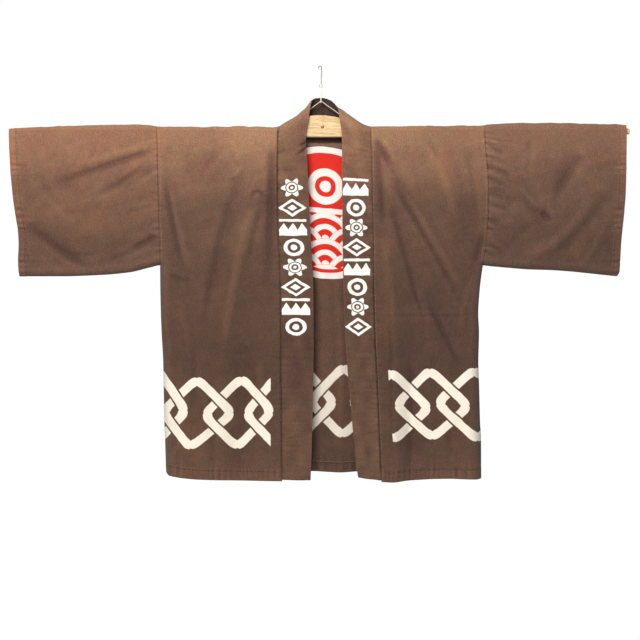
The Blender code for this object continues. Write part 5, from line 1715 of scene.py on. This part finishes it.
def all_stitches(material):
    """Rows along the hem, the right collar seam, the cuffs and the armholes."""
    left, right = (float(read(BODY_SIDES, side.column, HEM_LEVEL)) for side in (LEFT, RIGHT))
    seam_left, seam_right = (float(read(COLLAR_SEAMS, side.column, HEM_LEVEL)) for side in (LEFT, RIGHT))
    skin = CLOTH_WALL / 2
    x, z = hem_line("back", left + HEM_END, right - HEM_END)
    lines = [
        stitch_line("front", *hem_line("front", left + HEM_END, seam_left - 2), skin),
        stitch_line("front", *hem_line("front", seam_right + 2, right - HEM_END), skin),
        stitch_line("back", x, z, skin),
        stitch_line("back", x, z + 0.8, skin - HEM_WALL + 0.3, -1.0),
    ]
    z = np.linspace(ROD_HEIGHT - 8, -800.0, 300)
    lines.append(stitch_line("front", read(COLLAR_SEAMS, 2, z) + SEAM_INSET, z, skin))
    for side in (LEFT, RIGHT):
        cuff_foot = float(read(SLEEVE_BOTTOM, 1, side.sign * 610))
        for table, inset, high, low in (
                (CUFFS, CUFF_BAND, ROD_HEIGHT - 6, cuff_foot + 16),
                (BODY_SIDES, ARM_INSET, ROD_HEIGHT - 4, UNDERARM + 8)):
            z = np.linspace(high, low, 160)
            x = read(table, side.column, z) - side.sign * inset
            lines += [stitch_line(layer, x, z, skin) for layer in ("front", "back")]
    return build_stitches("stitches", lines, material)


# ---- hanger --------------------------------------------------------------------------------------
def ring_faces(rings, sides, closed=False):
    """Quads between the rings of a tube, with a flat face on each end of an open one."""
    faces = []
    for ring in range(rings if closed else rings - 1):
        upper = (ring + 1) % rings
        for k in range(sides):
            after = (k + 1) % sides
            faces.append((ring * sides + k, ring * sides + after,
                          upper * sides + after, upper * sides + k))
    ends = [tuple(reversed(range(sides))), tuple(range((rings - 1) * sides, rings * sides))]
    return faces + ([] if closed else ends)


def arc(middle, radii, start, end, parts):
    """Places round part of an ellipse, both ends given, by angles in degrees."""
    turns = [math.radians(start + (end - start) * k / parts) for k in range(parts + 1)]
    return [(middle[0] + radii[0] * math.cos(t), middle[1] + radii[1] * math.sin(t)) for t in turns]


def circle(radius, sides):
    """The two offsets of places round a circle."""
    turns = np.arange(sides) * 2 * math.pi / sides
    return radius * np.cos(turns), radius * np.sin(turns)


def add_solid(name, points, faces, material, angle=40.0):
    """A piece from rings of points in millimetres and faces with any number of corners."""
    mesh = bpy.data.meshes.new(name)
    mesh.from_pydata([tuple(float(c) * MM for c in point) for point in points], [], faces)
    tidy = bmesh.new()
    tidy.from_mesh(mesh)
    bmesh.ops.recalc_face_normals(tidy, faces=tidy.faces)
    tidy.to_mesh(mesh)
    tidy.free()
    mesh.shade_smooth()
    mesh.set_sharp_from_angle(angle=math.radians(angle))
    mesh.materials.append(material)
    return put(name, mesh)


def board_top(x):
    return BOARD_TOP - (BOARD_ARC - math.sqrt(BOARD_ARC ** 2 - x * x))


def build_board(material):
    """The arched board, its edges rounded over."""
    end, shoulder = BOARD_HALF_LENGTH, board_top(BOARD_SHOULDER)
    half = [(end - FOOT_ROUND, BOARD_BOTTOM)]
    half += arc((end - FOOT_ROUND, BOARD_BOTTOM + FOOT_ROUND), (FOOT_ROUND, FOOT_ROUND), -90, 0, 5)[1:]
    half += arc((BOARD_SHOULDER, BOARD_END_TOP), (end - BOARD_SHOULDER, shoulder - BOARD_END_TOP), 0, 90, 12)
    half += [(BOARD_SHOULDER * k / 16, board_top(BOARD_SHOULDER * k / 16)) for k in range(15, 0, -1)]
    outline = np.array(half + [(0.0, BOARD_TOP)] + [(-x, z) for x, z in reversed(half)])
    run = np.roll(outline, -1, axis=0) - np.roll(outline, 1, axis=0)
    outward = normalized(np.stack((run[:, 1], -run[:, 0]), axis=1))
    rings = []
    for sign in (-1, 1):
        for turn in [math.radians(18 * k) for k in range(6)][::-sign]:
            inset = ROUND_OVER * (1 - math.sin(turn))
            y = sign * (BOARD_HALF_THICKNESS - ROUND_OVER * (1 - math.cos(turn)))
            flat = outline - outward * inset
            rings.append(np.stack((flat[:, 0], np.full(len(flat), y), flat[:, 1]), axis=1))
    return add_solid("hanger_board_wood", np.vstack(rings),
                     ring_faces(len(rings), len(outline)), material)


def build_rod(material):
    """The rod, its ends eased over."""
    low, high = ROD_ENDS
    profile = [(0.0, 0.6), (0.35, 0.82), (1.0, 0.95), (1.9, 1.0)]
    places = [(low + d, r) for d, r in profile]
    places += [(low + (high - low) * k / 12, 1.0) for k in range(1, 12)]
    places += [(high - d, r) for d, r in reversed(profile)]
    rings = []
    for x, share in places:
        across, up = circle(ROD_RADIUS * share, ROD_SIDES)
        rings.append(np.stack((np.full(ROD_SIDES, x), across, ROD_HEIGHT + up), axis=1))
    return add_solid("hanger_rod_wood", np.vstack(rings), ring_faces(len(rings), ROD_SIDES), material)


def curve_through(corners, steps):
    """Points on a Catmull-Rom curve through the corners."""
    knots = [np.array(corner, float) for corner in corners]
    knots = [2 * knots[0] - knots[1]] + knots + [2 * knots[-1] - knots[-2]]
    route = []
    for a, b, c, d in zip(knots, knots[1:], knots[2:], knots[3:]):
        for k in range(steps):
            t = k / steps
            route.append(0.5 * (2 * b + (c - a) * t + (2 * a - 5 * b + 4 * c - d) * t * t
                                + (3 * b - a - 3 * c + d) * t ** 3))
    route.append(knots[-2])
    return np.array(route)


def build_tube(name, route, radius, square, material, closed=False, strands=0, lay=6.0):
    """A round tube along a flat route; strands twist it like a laid cord."""
    run = np.roll(route, -1, axis=0) - np.roll(route, 1, axis=0)
    along = normalized(run if closed else np.gradient(route, axis=0))
    first = normalized(np.broadcast_to(np.array(square, float), route.shape))
    second = normalized(np.cross(along, first))
    run = np.concatenate(([0.0], np.cumsum(np.linalg.norm(np.diff(route, axis=0), axis=1))))
    turns = np.arange(TUBE_SIDES) * 2 * math.pi / TUBE_SIDES
    rings = []
    for place, a, b, s in zip(route, first, second, run):
        shape = radius
        if strands:
            lobes = np.abs(np.cos(strands / 2 * (turns - 2 * math.pi * s / (lay * strands))))
            shape = radius * (0.80 + 0.20 * lobes)
        rings.append(place + (np.cos(turns) * shape)[:, None] * a + (np.sin(turns) * shape)[:, None] * b)
    faces = ring_faces(len(rings), TUBE_SIDES, closed=closed)
    return add_solid(name, np.vstack(rings), faces, material, 60.0)


CORD_ROUTE = (
    (-CORD_HOLE_X, 0, -117.0), (-CORD_HOLE_X, 0, -109.0), (-44, 0, -104.6), (-30, 0, -95.6),
    (-14, 0, -84.6), (-3.5, 0, -76.6), CORD_APEX[:1] + (0,) + CORD_APEX[1:], (7.5, 0, -76.2),
    (17, 0, -83.2), (32, 0, -93.4), (43.5, 0, -102.6), (CORD_HOLE_X, 0, -108.6),
    (CORD_HOLE_X, 0, -117.0),
)


def build_loop(material):
    """The loop that ties the cord to the hook's eye."""
    clear = 2 * CORD_RADIUS + SEAM_GAP
    low = CORD_APEX[1] - clear
    high = EYE_CENTRE[1] - EYE_RADIUS + HOOK_WIRE + SEAM_GAP + CORD_RADIUS
    half = clear / 2 + 1.0
    ends = [(EYE_CENTRE[0], y, z) for y, z in arc((0, high - half), (half, half), 0, 180, 16)]
    ends += [(CORD_APEX[0], y, z) for y, z in arc((0, low + half), (half, half), 180, 360, 16)]
    ends = np.array(ends)
    fine = []
    for a, b in zip(ends, np.roll(ends, -1, axis=0)):
        parts = max(1, round(float(np.linalg.norm(b - a)) / LOOP_STEP))
        fine += [a + (b - a) * k / parts for k in range(parts)]
    return build_tube("hanger_loop_cord", np.array(fine), CORD_RADIUS, (1, 0, 0), material,
                      closed=True, strands=3)


def build_hook(material):
    """The wire: a curl over the nail, a long shank and an eye below."""
    top, eye = HOOK_WIRE - HOOK_CURL, EYE_CENTRE[0]
    route = [(-HOOK_CURL, top - 1.6), *arc((0, top), (HOOK_CURL, HOOK_CURL), 180, 0, 16),
             (3.3, -12.0), (2.7, -24.0), (eye + 0.9, -33.6),
             *arc(EYE_CENTRE, (EYE_RADIUS, EYE_RADIUS), 62, -238, 24)]
    route = curve_through([(x, 0, z) for x, z in route], 2)
    return build_tube("hanger_hook_wire", route, HOOK_WIRE, (0, 1, 0), material)


def build_screw(material):
    """A low domed head with a cross cut as four sunken sectors."""
    face = -BOARD_HALF_THICKNESS - SEAM_GAP
    cross = np.abs(np.cos(4 * math.pi * np.arange(SCREW_SIDES) / SCREW_SIDES)) > 0.93
    rings = []
    for depth, share in SCREW_DOME:
        across, up = circle(SCREW_RADIUS * share, SCREW_SIDES)
        sunk = np.where(cross & (share < 0.5), 0.8, 0.0)
        rings.append(np.stack((SCREW_PLACE[0] + across, face + depth + sunk, SCREW_PLACE[1] + up), axis=1))
    return add_solid("hanger_screw_head", np.vstack(rings), ring_faces(len(rings), SCREW_SIDES),
                     material, 30.0)


# ---- putting it together -------------------------------------------------------------------------
def place_piece(piece, slot, *nodes):
    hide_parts(*nodes)
    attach(piece, "root")


def main():
    add_camera()
    add_surroundings()
    fronts = {
        "body_front_left": cotton(
            "cotton_front_left", BODY_SHADES, chain_pattern("front_left"), 1.0, TONE_PLACES),
        # The right front is a darker, slightly cooler copy: painted shade, as less light falls on the right
        # side.
        "body_front_right": cotton(
            "cotton_front_right", tinted(BODY_SHADES, 0.93, 0.93, 0.95),
            chain_pattern("front_right"), 2.0, TONE_PLACES),
    }
    back = cotton("cotton_back", BODY_SHADES, back_pattern, 3.0, TONE_PLACES)
    sleeve_cottons = {
        "left": cotton("cotton_sleeve_left", SLEEVE_SHADES, None, 4.0),
        # The right sleeve is a darker, cooler copy: painted shade, as less light falls on the right side,
        # with a cooler hue.
        "right": cotton("cotton_sleeve_right", tinted(SLEEVE_SHADES, 0.80, 0.84, 0.89), None, 7.0),
    }
    band_cotton = cotton("cotton_band", BAND_SHADES, collar_pattern, 5.0, BAND_TONE_PLACES)

    body = build_body(back)
    for piece in body:
        if piece.name in fronts:
            piece.data.materials[0] = fronts[piece.name]
        place_piece(piece, "cotton_body", "body")
    for side in (LEFT, RIGHT):
        sleeve = build_sleeve(side, sleeve_cottons[side.name])
        place_piece(sleeve, "cotton_sleeve", "sleeve_" + side.name)
    band = build_collar(band_cotton)
    place_piece(band, "cotton_collar", "collar")
    thread = plain("thread", THREAD, 0.8, specular=0.2)
    stitches = all_stitches(thread)
    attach(stitches, "root")

    board_wood = wood("board_wood", srgb(240, 214, 168), srgb(178, 136, 82), 3.2, 0.55)
    rod_wood = wood("rod_wood", srgb(240, 216, 172), srgb(196, 158, 108), 3.0, 0.6)
    cord_stuff = plain("hanger_cord_stuff", srgb(214, 204, 190), 0.85, specular=0.2)
    # The loop is a whiter copy of the cord: painted light, washing it out to white.
    pale_cord = plain("hanger_loop_stuff", srgb(246, 242, 232), 0.85, specular=0.2)
    brass = plain("brass", srgb(168, 142, 84), 0.35, metallic=0.8)
    place_piece(build_board(board_wood), "board_wood", "hanger_board")
    rod = build_rod(rod_wood)
    place_piece(rod, "rod_wood", "hanger_rod")
    place_piece(build_screw(brass), "steel", "hanger_screw")
    route = curve_through(CORD_ROUTE, 12)
    cord = build_tube("hanger_cord_legs", route, CORD_RADIUS * 0.86, (0, 1, 0), cord_stuff, strands=3)
    place_piece(cord, "cord", "hanger_cord")
    place_piece(build_loop(pale_cord), "cord", "hanger_loop")
    place_piece(build_hook(wire("wire")), "steel", "hanger_hook")


main()
